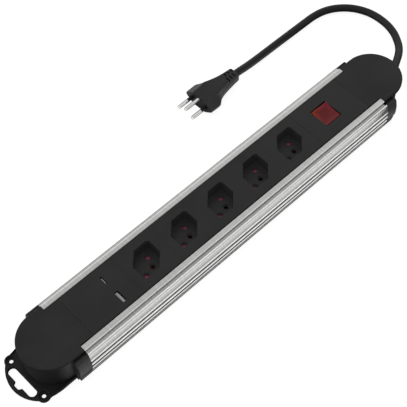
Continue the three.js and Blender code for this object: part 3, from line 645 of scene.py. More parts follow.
for row in PLASTICS:
    plastic(*row)
paint_plug_shade_and_light()
lift_socket_recess()
tone_caps()
metal("zinc_plate", color=(0.50, 0.50, 0.49), rough=0.32, vary=0.12)
metal("stamped_brass", color=(0.62, 0.43, 0.17), rough=0.3, vary=0.10, streak=(8, 900, 900))
metal("nickel_plate", color=(0.84, 0.83, 0.81), rough=0.09, vary=0.04, streak=(400, 400, 400),
      bump=0.02)
pin_nickel()
anodised_aluminium()
rocker_polycarbonate()
neon_glass()
glass_fibre_board()
earth_insulation()


# ------------------------------------------------------------------ aluminium channel
def barrel(z):
    """Half width of the bulging side at height z; the bulge is tighter above its middle."""
    half_width, middle = 36.3, 18
    radius = 50.0 if z < middle else 42.0
    return half_width - (radius - math.sqrt(radius * radius - (z - middle) ** 2))


def flank(z, depth, radius):
    """Outline corner on the side, sunk in by depth."""
    return barrel(z) - depth, z, radius


def ridge(z0, z1, bulge, steps=8):
    """Gently rounded ridge between two grooves."""
    middle, half = (z0 + z1) / 2, (z1 - z0) / 2
    points = []
    for i in range(steps + 1):
        z = z0 + (z1 - z0) * i / steps
        points.append((barrel(z) + bulge * (1 - ((z - middle) / half) ** 2), z,
                       0.18 if i in (0, steps) else 0))
    return points


def countersink(x, y, top):
    """Cutter for a screw hole with a conical seat on the underside."""
    return moved(turned([(0, -1), (4.4, -1), (1.85, 1.55), (1.85, top), (0, top)]), x, y)


# Half cross-sections: distance from the middle plane, z, corner radius
FOOT = [(33.2, 0, 0.25), (33.6, 0.5, 0.3)]
SIDE = [*FOOT, flank(2.2, 0, 0.3), flank(2.6, 0, 0.12), flank(2.9, 0.5, 0.1),
        flank(3.7, 0.5, 0.1), *ridge(4.0, 5.0, 0.08, 4), flank(5.3, 0.5, 0.1),
        flank(6.1, 0.5, 0.1), *ridge(6.4, 7.2, 0.08, 4), flank(7.6, 0.9, 0.15),
        flank(9.0, 0.9, 0.15), *ridge(9.4, 14.0, 0.30), flank(14.5, 1.3, 0.25),
        flank(16.4, 1.3, 0.25), *ridge(16.9, 20.5, 0.35), flank(21.0, 1.3, 0.25),
        flank(22.8, 1.3, 0.25), *ridge(23.3, 26.4, 0.18), flank(26.7, 0.35, 0.08),
        *ridge(27.0, 31.8, -0.22)]
LEDGE_PLUS_Y = [
    (33.1, 33.4, 0.3), (32.6, 33.85, 0.3), (31.9, 33.6, 0.3), (31.0, 33.5, 0.3), (29.9, 33.6, 0.3),
    (29.5, 34.4, 0.3), (29.4, 35.2, 0.2), (29.2, 35.6, 0.2), (28.2, TOP, 0.2)]
LEDGE_MINUS_Y = [
    (33.75, 32.3, 0.2), (33.6, 32.7, 0.1), (32.8, 33.9, 0.12), (32.3, 33.9, 0.2),
    (31.7, 33.0, 0.3), (30.5, 33.0, 0.3), (30.1, 33.3, 0.3), (29.75, 34.2, 0.3),
    (29.55, 35.25, 0.08), (29.0, TOP, 0.06)]
LIP_AND_INSIDE = [
    (24.45, TOP, 0.12), (24.1, 35.65, 0.12), (24.1, 34.0, 0.15), (28.2, 34.0, 0.15),
    (28.2, 31.0, 0.15), (26.0, 31.0, 0.15), (26.0, 29.4, 0.2), (32.2, 29.4, 0.5),
    (33.5, 25.0, 1.5), (33.8, 18.0, 2), (33.2, 9.0, 2), (32.0, 3.2, 0.6), (31.2, 2.2, 0.5)]

section = rounded(SIDE + LEDGE_PLUS_Y + LIP_AND_INSIDE
                  + mirrored(SIDE + LEDGE_MINUS_Y + LIP_AND_INSIDE), 3)
channel = prism(section, "x", -CHANNEL_END, CHANNEL_END, 0.12, 0.12, 1)
cut(channel, *[countersink(sx * CAP_SCREW_X, sy * CAP_SCREW_Y, 4)
               for sx in (-1, 1) for sy in (-1, 1)])
dress(channel, "aluminium_channel", "anodised_aluminium", "aluminium_profile",
      angle=24)


# ------------------------------------------------------------------ end caps
CAP_RADIUS = 29.5       # round end at the top
CAP_EDGE = 1.1          # rounding of the top edge
CAP_WALL = 2.6
SIDE_BLOCK_END = 202.5
# Distance from the middle plane, z, corner radius
SIDE_BLOCK = [
    (28.6, 0.0, 0.2), *FOOT, flank(9.0, 0, 0.3), flank(9.4, 1.2, 0.2), flank(10.9, 1.2, 0.2),
    flank(11.3, 0, 0.3), flank(14.5, 0, 0), flank(18, 0, 0), flank(21.5, 0, 0), flank(25, 0, 0),
    flank(28, 0, 0), flank(30.6, 0, 1.2), (33.0, 32.3, 0.5), (31.5, 32.5, 0.3), (31.1, 31.2, 0.3),
    (24.8, 31.2, 0.2), (24.8, 3.6, 0.2), (28.6, 3.6, 0.2)]


def d_ring(sign, radius, start, center_x, z):
    """D-shaped ring, round towards the end of the strip."""
    points = [(start, -radius)] + arc(center_x, 0, radius, -90, 90, 56) + [(start, radius)]
    if sign < 0:
        points = [(-x, -y) for x, y in points]
    return level(points, z)


def side_block(sign, side):
    """Grooved block that carries on the channel's side beside the cap."""
    outline = [(side * a, b) for a, b in rounded(SIDE_BLOCK, 4)]
    ob = prism(outline, "x", *span(sign, SHOULDER, SIDE_BLOCK_END))
    plan = [(sign * 188.0, side * 24.0, 0), (sign * SIDE_BLOCK_END, side * 24.0, 0),
            (sign * SIDE_BLOCK_END, side * 36.9, 1.2), (sign * 188.0, side * 36.9, 0)]
    boolean(ob, [prism(rounded(plan, 6), "z", -1, 40)], "INTERSECT")
    outside = span(side, 31.0, 40.0)
    cut(ob, block(*span(sign, 201.4, 204.0), *outside, -1, 9.6),
        block(*span(sign, 200.6, 204.0), *outside, 9.0, 11.2))
    return ob


def cap_body(sign, center_x, bottom, wall_radius, foot_radius):
    """Hollow cap. A wall narrower than CAP_RADIUS leaves an overhanging rim at the top."""
    def ring(radius, z):
        return d_ring(sign, radius, SHOULDER, center_x, z)

    overhang = wall_radius < CAP_RADIUS
    wall_top = 32.5 if overhang else TOP - CAP_EDGE
    rings = [ring(foot_radius - 0.4, bottom), ring(foot_radius, bottom + 0.4)]
    for i in range(1, 7):
        rings.append(ring(foot_radius + (wall_radius - foot_radius) * i / 6,
                          bottom + 0.4 + (wall_top - bottom - 0.4) * i / 6))
    if overhang:
        rings += [ring(CAP_RADIUS - 0.3, wall_top), ring(CAP_RADIUS, wall_top + 0.3),
                  ring(CAP_RADIUS, TOP - CAP_EDGE)]
    for i in range(1, 7):
        turn = math.pi / 2 * i / 6
        rings.append(ring(CAP_RADIUS - CAP_EDGE * (1 - math.cos(turn)),
                          TOP - CAP_EDGE * (1 - math.sin(turn))))
    body = loft(rings)

    # tongue and wings that reach into the channel
    reach = span(sign, TONGUE_END, 190.8)
    tongue = prism(rounded([(-TONGUE_Y, 32.4, 0.1), (TONGUE_Y, 32.4, 0.1), (TONGUE_Y, TOP, 0.22),
                            (-TONGUE_Y, TOP, 0.22)], 3), "x", *reach, 0.12, 0.12, 2)
    join(body, tongue, block(*reach, -WING_Y, WING_Y, WING_LOW, WING_HIGH))

    inside = SHOULDER + 2.4
    hollow = loft([d_ring(sign, foot_radius - CAP_WALL, inside, center_x, bottom - 2),
                   d_ring(sign, wall_radius - CAP_WALL, inside, center_x, TOP - CAP_WALL)])
    mouth = block(*span(sign, SHOULDER - 1, SHOULDER + 4), -22, 22, bottom - 1, 30.5)
    cut(body, hollow, mouth)

    extras = []
    for side in (-1, 1):
        extras.append(rod("z", sign * CAP_SCREW_X, side * CAP_SCREW_Y, 4.0, 2.5, 32.0, 24))
        extras.append(side_block(sign, side))
    join(body, *extras)
    cut(body, *[rod("z", sign * CAP_SCREW_X, side * CAP_SCREW_Y, 1.75, 0, 18, 20)
                for side in (-1, 1)])
    return body


def near_cap():
    cap = cap_body(-1, center_x=203.0, bottom=3.3, wall_radius=CAP_RADIUS, foot_radius=27.2)
    ys = [side * BRACKET_SCREW_Y for side in (-1, 1)]
    join(cap, *[rod("z", BRACKET_SCREW_X, y, 3.6, 3.3, 34.0, 24) for y in ys])
    cut(cap, *[rod("z", BRACKET_SCREW_X, y, 1.75, 0, 16, 20) for y in ys])
    dress(cap, "near_cap_shell", "cap_plastic", "near_end_cap", angle=28)


def far_cap():
    cap = cap_body(1, center_x=FAR_ROUND_X, bottom=2.9, wall_radius=26.3, foot_radius=25.6)
    cut(cap, rod("x", 0, CORD_EXIT_Z, 5.6, 222, 240, 36))
    dress(cap, "far_cap_shell", "cap_plastic", "far_end_cap", angle=28)


def far_base():
    """Plate under the far cap, with a post for each clamp screw."""
    radius, step_x, ear_y = 26.4, 202.3, 28.7
    plan = rounded([(190.1, -ear_y, 0.5), (step_x, -ear_y, 1.2), (step_x, -radius, 0.4)]
                   + sharp(arc(FAR_ROUND_X, 0, radius, -90, 90, 48))
                   + [(step_x, radius, 0.4), (step_x, ear_y, 1.2), (190.1, ear_y, 0.5)], 3)
    base = prism(plan, "z", 0, 2.6, 0.3, 0.5)
    ys = [side * CLAMP_SCREW_Y for side in (-1, 1)]
    join(base, *[rod("z", CLAMP_SCREW_X, y, 3.4, 2.0, 15.6, 24, 0, 0.3) for y in ys])
    cut(base, *[rod("z", CLAMP_SCREW_X, y, 1.6, 5, 20, 20) for y in ys])
    dress(base, "far_cap_base", "cap_plastic", "far_end_base", angle=28)


near_cap()
far_cap()
far_base()

# ------------------------------------------------------------------ wall bracket
EAR_X, EAR_Y = -233.3, 22.3
SLOT_LEFT, SLOT_RIGHT, SLOT_Y = -242.55, -234.75, 17.3
# x, y, corner radius; the +Y half of the plate
BRACKET_HALF = [
    (-190.1, 28.9, 0.3), (-218.0, 28.9, 8.0), (-224.0, 28.3, 9.0), (-228.3, 27.4, 3.0),
    *sharp(arc(EAR_X, EAR_Y, 5.9, 62, 162, 20)), (-239.15, 22.9, 1.6),
    *sharp(arc(-216.95, 0, 31.9, 137, 180, 24))]
# Low raised lip along the plate's side
BRACKET_LIP = [
    (-203.4, 28.9, 0.3), (-218.0, 28.9, 8.0), (-224.0, 28.3, 9.0), (-228.3, 27.4, 3.0),
    (-230.6, 27.25, 0.4), (-230.6, 26.35, 0.4), (-228.2, 26.5, 3.0), (-223.9, 27.4, 9.0),
    (-217.9, 28.0, 8.0), (-203.4, 28.0, 0.3)]
# Long slot across the outer end, with a shallow bay in its -X side
BRACKET_SLOT = [
    (SLOT_RIGHT, -SLOT_Y, 3.89), (SLOT_RIGHT, SLOT_Y, 3.89), (SLOT_LEFT, SLOT_Y, 3.89),
    (SLOT_LEFT, 4.7, 0.9), (-245.6, 3.2, 1.9), (-245.6, -3.2, 1.9), (SLOT_LEFT, -4.7, 0.9),
    (SLOT_LEFT, -SLOT_Y, 3.89)]
# radius, z of the stepped ear hole with its bevelled mouth
EAR_HOLE = [(0, -1), (1.9, -1), (1.9, 1.5), (3.95, 1.5), (4.1, 1.65), (4.1, 2.6), (4.55, 3.05),
            (4.55, 6), (0, 6)]


def wall_bracket():
    """Flat plate under the near cap, reaching out past it at -X."""
    other_half = [(x, -y, radius) for x, y, radius in reversed(BRACKET_HALF[:-1])]
    bracket = prism(rounded(BRACKET_HALF + other_half, 6), "z", 0, 3.0, 0.35, 0.5)
    join(bracket, *[prism(rounded([(x, side * y, radius) for x, y, radius in BRACKET_LIP], 5),
                          "z", 1.0, 4.2, 0, 0.3) for side in (-1, 1)])
    slot = rounded(BRACKET_SLOT, 8)
    wide = inset(ccw(slot), -0.5)
    cuts = [prism(slot, "z", -1, 6),
            loft([level(ccw(slot), 2.3), level(wide, 3.05), level(wide, 5)])]
    for side in (-1, 1):
        cuts.append(moved(turned(EAR_HOLE, 44), EAR_X, side * EAR_Y))
        cuts.append(countersink(BRACKET_SCREW_X, side * BRACKET_SCREW_Y, 6))
    cut(bracket, *cuts)
    dress(bracket, "wall_bracket", "bracket_plastic", "mounting_bracket",
          angle=30)


wall_bracket()

# ------------------------------------------------------------------ modules
# y, z, corner radius of the +Y half, from the inner corner down, out and up to the top
MODULE_HALF = [
    (21.4, 33.2, 0.4), (21.4, 22.0, 0.3), (23.4, 22.0, 0.3), (23.4, WING_LOW, 0.2),
    (WING_Y, WING_LOW, 0.1), (WING_Y, WING_HIGH, 0.1), (TONGUE_Y, WING_HIGH, 0),
    (TONGUE_Y, 35.8, 0), (23.15, TOP, 0)]


def blank(x0, x1):
    """Plain module, open underneath, before its openings are cut."""
    outline = rounded(MODULE_HALF[7:] + mirrored(MODULE_HALF) + MODULE_HALF[:7], 3)
    return prism(outline, "x", x0, x1, 0.035, 0.035, 1)


def rim_rings(outline, rim, steps):
    """Rings that flare an opening out to a rounded rim at the top face, and on above it."""
    rings = []
    for i in range(steps + 1):
        turn = math.pi / 2 * i / steps
        rings.append(level(inset(outline, -rim * (1 - math.cos(turn))),
                           TOP - rim + rim * math.sin(turn)))
    return rings + [level(inset(outline, -rim), TOP + 2)]


def opening(outline, bottom, rim):
    outline = ccw(outline)
    return loft([level(outline, bottom)] + rim_rings(outline, rim, 3))


# ------------------------------------------------------------------ sockets
RECESS_RIM, RECESS_FOOT, RECESS_DRAFT, RECESS_FLOOR = 0.55, 0.9, 0.5, 23.5
RECESS_RADIUS = 1.6
# radius, z of a pin hole with its dished mouth
PIN_HOLE = [(0, 18), (2.1, 18), (2.1, 22.5), (2.2, 22.65), (3.0, 22.7), (3.0, 23.3),
            (3.25, 23.55), (3.25, 24.6), (0, 24.6)]


def recess_outline(grow, radius=RECESS_RADIUS):
    """Socket outline, its long axis turned 45 degrees from X, larger by grow."""
    return ccw(rounded(turn45(octagon(18.7 + grow, 1.5, 8.2 + 0.4 * grow, 11.6 + grow, radius))))


def recess_cutter():
    rings = []
    for i in range(6):
        turn = math.pi / 2 * i / 5
        depth = RECESS_DRAFT + RECESS_FOOT * (1 - math.sin(turn))
        rings.append(level(recess_outline(-depth, RECESS_RADIUS - 0.6 * depth),
                           RECESS_FLOOR + RECESS_FOOT * (1 - math.cos(turn))))
    return loft(rings + rim_rings(recess_outline(0), RECESS_RIM, 5))


def socket_face():
    face = blank(-22.62, 22.62)
    cup = prism(recess_outline(1.6), "z", 21.3, 34.0, 0.4, 0)
    stop = prism(turn45([(-4, 12.6), (4, 12.6), (4, 14.4), (-4, 14.4)]), "z", 19.4, 25.0)
    join(face, cup, stop)
    holes = [moved(turned(PIN_HOLE, 36), x, y)
             for x, y in turn45([(PIN_Y, 0), (-PIN_Y, 0), (0, -EARTH_OFFSET)])]
    cut(face, recess_cutter())
    cut(face, *holes)
    return face


template = socket_face()
for number, x in enumerate(SOCKET_XS, 1):
    face = bpy.data.objects.new("part", template.data.copy())
    scene.collection.objects.link(face)
    moved(face, x)
    dress(face, "socket_face_%d" % number, "socket_plastic", "socket_module_%d" % number,
          angle=28)
discard(template)

# ------------------------------------------------------------------ USB charger
USB_BOTTOM, USB_SHELL_TOP, USB_WALL = 19.3, 33.0, 0.3
USB_FLOOR = 1.2         # closed bottom of a receptacle shell
TONGUE_FOOT = USB_BOTTOM + 1.5


def usb_panel():
    panel = blank(-MODULE_END, -116.24)
    cut(panel, opening(rect((USB_A[0] - 0.3, USB_A[1]), 4.0, 12.3, 0.3), 30.0, 0.15),
        opening(rect(USB_C, 2.25, 8.4, 1.12), 30.0, 0.15))
    dress(panel, "usb_panel", "panel_plastic", "usb_charger_panel", angle=28)


def usb_shell(center, width, length, radius, inner_radius, steps, round_top):
    shell = prism(rect(center, width, length, radius, steps), "z", USB_BOTTOM, USB_SHELL_TOP,
                  0.1, round_top, 2)
    cut(shell, prism(rect(center, width - 2 * USB_WALL, length - 2 * USB_WALL, inner_radius, steps),
                     "z", USB_BOTTOM + USB_FLOOR, 40))
    return shell


def usb_a():
    x, y = USB_A
    shell = usb_shell(USB_A, 5.7, 13.2, 0.6, 0.4, 5, 0.12)
    window_half, window_y = 0.9, 3.2
    cut(shell, *[block(x - 6, x + 6, y + side * window_y - window_half,
                       y + side * window_y + window_half, 24.0, 29.0) for side in (-1, 1)])
    dress(shell, "usb_a_shell", "nickel_plate", "usb_a_receptacle")
    insert = prism(rect((x - 0.7, y), 2.65, 11.4, 0.3), "z", TONGUE_FOOT, 34.9, 0.1, 0.25)
    dress(insert, "usb_a_insert", "insulator_grey", "usb_a_tongue")
    for i in range(4):
        contact = prism(rect((x + 0.66, y - 3.6 + 2.4 * i), 0.14, 1.1, 0.04, 2),
                        "z", 24, 34.4, 0, 0.05, 1)
        dress(contact, "usb_a_contact_%d" % (i + 1), "stamped_brass", None)


def usb_c():
    shell = usb_shell(USB_C, 3.3, 9.1, 1.64, 1.34, 8, 0.1)
    dress(shell, "usb_c_shell", "nickel_plate", "usb_c_receptacle")
    insert = prism(rect(USB_C, 0.7, 6.4, 0.2), "z", TONGUE_FOOT, 34.6, 0.05, 0.12, 2)
    dress(insert, "usb_c_insert", "insulator_white", "usb_c_tongue")


usb_panel()
usb_a()
usb_c()

# ------------------------------------------------------------------ switch
# y, z, corner radius of the rocker's side view about its pivot; the top is dished
ROCKER_SIDE = [
    (-9.95, 5.9, 0.7), (-9.3, -1.6, 0.6), (-4.5, -4.4, 0.8), (4.5, -4.4, 0.8), (9.3, -1.6, 0.6),
    (9.95, 5.9, 0.7), (7.0, 5.05, 4.0), (3.5, 4.5, 0), (0, 4.35, 0), (-3.5, 4.5, 0),
    (-7.0, 5.05, 4.0)]


def switch_face():
    center = (ROCKER_X, ROCKER_Y)
    face = blank(110.74, MODULE_END)
    join(face, prism(rect(center, 24.8, 26.4, 1.0), "z", 29.2, 34.0))
    cut(face, opening(rect(center, 20.4, 22.6, 0.5), 20.0, 0.3),
        rod("x", ROCKER_Y, ROCKER_Z, 1.9, ROCKER_X - 11.7, ROCKER_X + 11.7))
    dress(face, "switch_face", "panel_plastic", "switch_panel", angle=28)


def rocker():
    """Rocker with a stem underneath and a pivot pin along X."""
    cap = prism(rounded(ROCKER_SIDE), "x", -10.0, 10.0, 0.45, 0.45, 4)
    join(cap, prism(rect((0, 0), 4.0, 1.7, 0.3, 3), "z", -17.4, -3.0, 0.5, 0),
         rod("x", 0, 0, 1.5, -11.25, 11.25, 24, 0.2, 0.2))
    placed(cap, offset(ROCKER_X, ROCKER_Y, ROCKER_Z)
           @ Matrix.Rotation(math.radians(ROCKER_TILT), 4, "X"))
    dress(cap, "rocker_cap", "rocker_polycarbonate", "switch_rocker", angle=30,
          body="rocker")


switch_face()
rocker()


# ------------------------------------------------------------------ cord and cores
def catmull(points, spacing):
    """Centripetal Catmull-Rom curve through the points."""
    points = [Vector(p) for p in points]
    points = [points[0] * 2 - points[1]] + points + [points[-1] * 2 - points[-2]]
    path = []
    for i in range(1, len(points) - 2):
        p0, p1, p2, p3 = points[i - 1:i + 3]
        t0 = 0.0
        t1 = t0 + math.sqrt((p1 - p0).length)
        t2 = t1 + math.sqrt((p2 - p1).length)
        t3 = t2 + math.sqrt((p3 - p2).length)
        count = max(2, int((p2 - p1).length / spacing))
        for k in range(count):
            t = t1 + (t2 - t1) * k / count

            def between(start, end, t_start, t_end):
                width = t_end - t_start
                return start * ((t_end - t) / width) + end * ((t - t_start) / width)

            a1 = between(p0, p1, t0, t1)
            a2 = between(p1, p2, t1, t2)
            a3 = between(p2, p3, t2, t3)
            path.append(between(between(a1, a2, t0, t2), between(a2, a3, t1, t3), t1, t2))
    path.append(points[-2])
    return path


def sweep(points, radius, spacing, count, bevel):
    """Round strand along the points, with bevelled ends."""
    path = catmull(points, spacing)
    rings = []
    for i, center in enumerate(path):
        ahead = (path[min(i + 1, len(path) - 1)] - path[max(i - 1, 0)]).normalized()
        side = ahead.cross(Vector((0, 0, 1))).normalized()
        top = side.cross(ahead).normalized()
        rings.append([tuple(center + side * (radius * math.cos(2 * math.pi * k / count))
                            + top * (radius * math.sin(2 * math.pi * k / count)))
                      for k in range(count)])

    def bevelled(ring, center, inward):
        """The shrunken end ring, and the full ring drawn back from the end."""
        shift = (inward - center).normalized() * bevel
        return ([tuple(center + (Vector(p) - center) * (1 - bevel / radius)) for p in ring],
                [tuple(Vector(p) + shift) for p in ring])

    start, first = bevelled(rings[0], path[0], path[1])
    end, last = bevelled(rings[-1], path[-1], path[-2])
    return loft([start, first] + rings[1:-1] + [last, end])


# x, y, z along the middle of the cord, from inside the far cap to the plug
CORD = [
    (208.5, 0, 12), (222, 0, 12), (234, 0, 12), (239.5, 0.4, 12), (244.5, 2.0, 11.7),
    (249.8, 4.6, 11.0), (255.1, 7.4, 10.0), (261.3, 10.6, 8.6), (267.3, 14.0, 7.2),
    (273.0, 17.9, 6.0), (279.0, 23.4, 4.9), (284.3, 30.2, 4.2), (288.6, 37.2, 4.0),
    (291.6, 45.0, 4.0), (293.4, 53, 4.0), (294.0, 61, 4.0), (293.7, 69.0, 4.0),
    (292.3, 76.4, 4.0), (289.2, 84.6, 4.0), (284.9, 92.1, 4.0), (279.4, 98.6, 4.0),
    (272.8, 104.2, 4.0), (265.0, 108.8, 4.0), (256.1, 111.9, 4.0), (245.2, 113.5, 4.0),
    (233, 113.75, 4.0), (208.6, 113.8, 4.0), (184.6, 113.9, 4.0), (172, 113.75, 4.15),
    (160, 113.4, 4.8), (150, 112.95, 5.8), (141.5, 112.6, 7.0), (133, 112.5, 8.1),
    (126, 112.45, 8.58), (117.5, 112.33, 8.6)]
# radius, z of the collar's section, before it is laid along X
COLLAR = [
    (4.2, -6.4), (5.35, -6.4), (5.35, -1.0), (6.2, -1.0), (6.8, -0.5), (6.8, 0.5), (6.2, 1.0),
    (5.35, 1.0), (5.2, 2.4), (5.0, 3.7), (4.7, 4.1), (4.2, 4.1)]
# name, colour, material, then x, y, z along the core
CORES = [
    ("live", "brown", "wire_brown_pvc", [
        (208, 0, 14.0), (200, 0.4, 13.5), (190, 0.4, 11), (176, 0.4, 7), (166, 0.4, 5.6),
        (156.2, 0.4, 5.6)]),
    ("neutral", "blue", "wire_blue_pvc", [
        (208, -1.9, 11.0), (200, -4, 11), (188, -8, 11.5), (177, -10.3, 12), (167, -15, 12),
        (150, -17.2, 12), (128, -16.5, 12), (115, -11.4, 11.5), (109.5, -9.8, 11),
        (105.8, -9.6, 11)]),
    ("earth", "green_yellow", "wire_earth_pvc", [
        (208, 1.9, 11.0), (200, 4, 10.5), (188, 8, 10), (177, 10.3, 10), (168, 15, 10),
        (158, 18.2, 10), (128, 18.2, 9.5), (119, 14, 6.6), (114, 5, 6.2), (111, 0.4, 8.5),
        (106.4, -0.8, 11)]),
]

dress(sweep(CORD, radius=4.0, spacing=1.6, count=28, bevel=0.3), "cord_sheath", "cord_pvc",
      "mains_cord", angle=50)
collar = placed(tube(COLLAR),
                offset(232.9, 0, CORD_EXIT_Z) @ Matrix.Rotation(math.radians(90), 4, "Y"))
dress(collar, "cord_collar", "cord_pvc", "cord_grommet")
for name, color, surface, points in CORES:
    dress(sweep(points, radius=1.2, spacing=1.5, count=14, bevel=0.15), name + "_core", surface,
          name + "_wire", angle=50)

# ------------------------------------------------------------------ plug
# The plug is built along X with its pin face at x = 0, then placed.
PLUG = offset(75.9, 111.6, 8.6) @ Matrix.Rotation(math.radians(1.0), 4, "Z")
PIN_PLACES = [("live", PIN_Y, 0), ("neutral", -PIN_Y, 0), ("earth", 0, EARTH_OFFSET)]
# x, half width, half width of the flats, half height, half height of the side tips, corner radius
STATIONS = [
    (0.0, 17.1, 8.0, 7.7, 1.0, 0.8), (0.25, 17.6, 8.35, 8.1, 1.3, 0.9),
    (0.8, 17.8, 8.5, 8.3, 1.4, 0.9), (4.0, 17.9, 8.6, 8.35, 1.4, 1.0),
    (8.0, 18.0, 8.6, 8.4, 1.4, 1.0), (12.6, 18.1, 8.6, 8.4, 1.4, 1.0),
    (13.8, 17.9, 9.2, 8.4, 1.4, 1.1), (14.9, 17.2, 9.7, 8.4, 1.5, 1.2),
    (16.2, 15.9, 10.0, 8.4, 1.6, 1.4), (17.8, 14.4, 10.1, 8.35, 1.8, 1.6),
    (20.5, 12.6, 9.4, 8.2, 2.0, 1.8), (24.5, 11.0, 8.3, 7.9, 2.3, 2.0),
    (29.0, 9.8, 7.3, 7.5, 2.6, 2.2), (34.5, 8.8, 6.2, 7.0, 2.8, 2.2),
    (40.0, 8.0, 5.6, 6.6, 3.0, 2.2), (46.0, 7.3, 5.0, 6.2, 3.0, 2.1),
    (50.3, 7.0, 4.7, 6.0, 3.0, 2.0), (51.0, 6.8, 4.5, 5.8, 2.9, 1.9),
    (51.4, 6.3, 4.1, 5.4, 2.7, 1.8)]
# radius, z along a pin; the shank with a neck sits in a sleeve
PIN_TIP = [(2.0, 16.9), (1.93, 17.6), (1.72, 18.2), (1.35, 18.65), (0.8, 18.92), (0, 19.0)]
NECKED_SHANK = [(0, -7), (1.25, -7), (1.25, 6.15), (1.85, 6.2), (2.0, 6.35)]
PLAIN_SHANK = [(0, -7), (1.9, -7), (2.0, -6.9)]
SLEEVE = [(1.45, -6.0), (1.9, -6.0), (1.97, -5.9), (1.97, 6.0), (1.9, 6.1), (1.45, 6.1)]


def smooth_stations(stations, spacing=0.9):
    """Fills in between the stations, then averages three times; three rows at each end stay."""
    rows = []
    for here, there in zip(stations, stations[1:]):
        count = max(1, int((there[0] - here[0]) / spacing))
        for k in range(count):
            part = k / count
            rows.append(tuple(u + (v - u) * part for u, v in zip(here, there)))
    rows.append(stations[-1])
    for _ in range(3):
        middle = [tuple((rows[i - 1][j] + 2 * rows[i][j] + rows[i + 1][j]) / 4 for j in range(6))
                  for i in range(3, len(rows) - 3)]
        rows = rows[:3] + middle + rows[-3:]
    return rows


def neck_grooves():
    """Grooves above and below the neck, staggered between its two sides."""
    grooves = []
    for i in range(3):
        for side in (-1, 1):
            x = 37.2 + 4.3 * i + (2.15 if side > 0 else 0)
            outline = rounded([(x, 4.95, 0.4), (x + 1.5, 4.95, 0.4), (x + 1.7, 10, 0),
                               (x - 0.2, 10, 0)], 3)
            for up in (-1, 1):
                groove = prism(outline, "y", *span(side, 0.7, 12.0))
                if up < 0:
                    placed(groove, Matrix.Scale(-1, 4, (0, 0, 1)))
                    recalc_normals(groove.data)
                grooves.append(groove)
    return grooves


def plug_moulding():
    rings = []
    for x, width, flat, height, tip, radius in smooth_stations(STATIONS):
        outline = rounded(octagon(width, tip, flat, height, radius), 6)
        rings.append([(x, y, z) for y, z in outline])
    plug = loft(rings)
    cord_hole = rod("x", 0, 0, 4.15, 40, 60)
    pin_holes = [rod("x", y, z, 2.3, -1, 8, 28) for _, y, z in PIN_PLACES]
    cut(plug, cord_hole, *pin_holes, *neck_grooves())
    placed(plug, PLUG)
    dress(plug, "plug_moulding", "plug_pvc", "plug_body", angle=34)


def plug_pins():
    """Pins that point along -X; live and neutral carry sleeves."""
    for name, y, z in PIN_PLACES:
        along = PLUG @ offset(0, y, z) @ Matrix.Rotation(-math.pi / 2, 4, "Y")
        sleeved = name != "earth"
        shank = NECKED_SHANK if sleeved else PLAIN_SHANK
        dress(placed(turned(shank + PIN_TIP, 36), along), "plug_pin_" + name, "pin_nickel",
              "plug_%s_pin" % name)
        if sleeved:
            dress(placed(tube(SLEEVE, 32), along), "plug_sleeve_" + name, "sleeve_plastic",
                  "plug_%s_sleeve" % name)


plug_moulding()
plug_pins()


# ------------------------------------------------------------------ screws
def cross_cutter(z0, z1, reach, faces_up):
    """Cross recess that tapers away from the face of the screw head."""
    arm = 0.36  # half width of an arm
    wide = rounded([(-arm, -reach, 0), (arm, -reach, 0), (arm, -arm, 0.12), (reach, -arm, 0),
                    (reach, arm, 0), (arm, arm, 0.12), (arm, reach, 0), (-arm, reach, 0),
                    (-arm, arm, 0.12), (-reach, arm, 0), (-reach, -arm, 0),
                    (-arm, -arm, 0.12)], 2)
    narrow = [(x * 0.55, y * 0.55) for x, y in wide]
    low, high = (narrow, wide) if faces_up else (wide, narrow)
    return loft([level(low, z0), level(high, z1)])


def flat_head_screw(length):
    """Screw driven up from the underside."""
    screw = turned([(0, 0.12), (2.6, 0.12), (2.75, 0.22), (2.75, 0.34), (1.4, 1.68),
                    (1.4, length - 1.2), (0.3, length), (0, length)])
    cut(screw, cross_cutter(-0.6, 1.3, 1.95, faces_up=False))
    return screw


def clamp_screw():
    """Screw driven down into a post of the far base."""
    screw = turned([(0, 6.2), (0.3, 6.2), (1.35, 7.4), (1.35, 19.9), (2.9, 19.9), (2.9, 21.2),
                    (2.6, 21.6), (2.0, 21.85), (0, 21.9)])
    cut(screw, cross_cutter(20.8, 23, 1.9, faces_up=True))
    return screw


# name, x, distance from the middle plane, length (none for the clamp screws)
SCREWS = [("near_cap", -CAP_SCREW_X, CAP_SCREW_Y, 14), ("far_cap", CAP_SCREW_X, CAP_SCREW_Y, 14),
          ("bracket", BRACKET_SCREW_X, BRACKET_SCREW_Y, 13),
          ("clamp", CLAMP_SCREW_X, CLAMP_SCREW_Y, None)]
for place, x, y, length in SCREWS:
    for side_name, side in (("left", 1), ("right", -1)):
        screw = flat_head_screw(length) if length else clamp_screw()
        name = "%s_screw_%s" % (place, side_name)
        dress(moved(screw, x, side * y), name + "_turned", "zinc_plate", name)

# ------------------------------------------------------------------ shutter return springs
# Zigzag wire in the plane of the shutter, from the shutter's tab to the stop under the socket
SPRING_Z = 20.3
SPRING_HALF = 2.6       # half width of the zigzag


def spring_path():
    across = 5.45
    line = [(-2.2, 4.05), (SPRING_HALF, 4.75), (SPRING_HALF, across)]
    for k in range(4):
        sign = -1 if k % 2 == 0 else 1
        line += [(sign * SPRING_HALF, across + 0.55), (sign * SPRING_HALF, across + 1.2)]
        across += 1.2 + 0.35
    return level(turn45(line + [(-2.2, 12.1)]), SPRING_Z)


for number, x in enumerate(SOCKET_XS, 1):
    spring = sweep(spring_path(), radius=0.28, spacing=0.35, count=10, bevel=0.06)
    moved(spring, x)
    dress(spring, "return_spring_%d" % number, "zinc_plate", "shutter_spring_%d" % number,
          angle=60)
    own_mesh(spring)

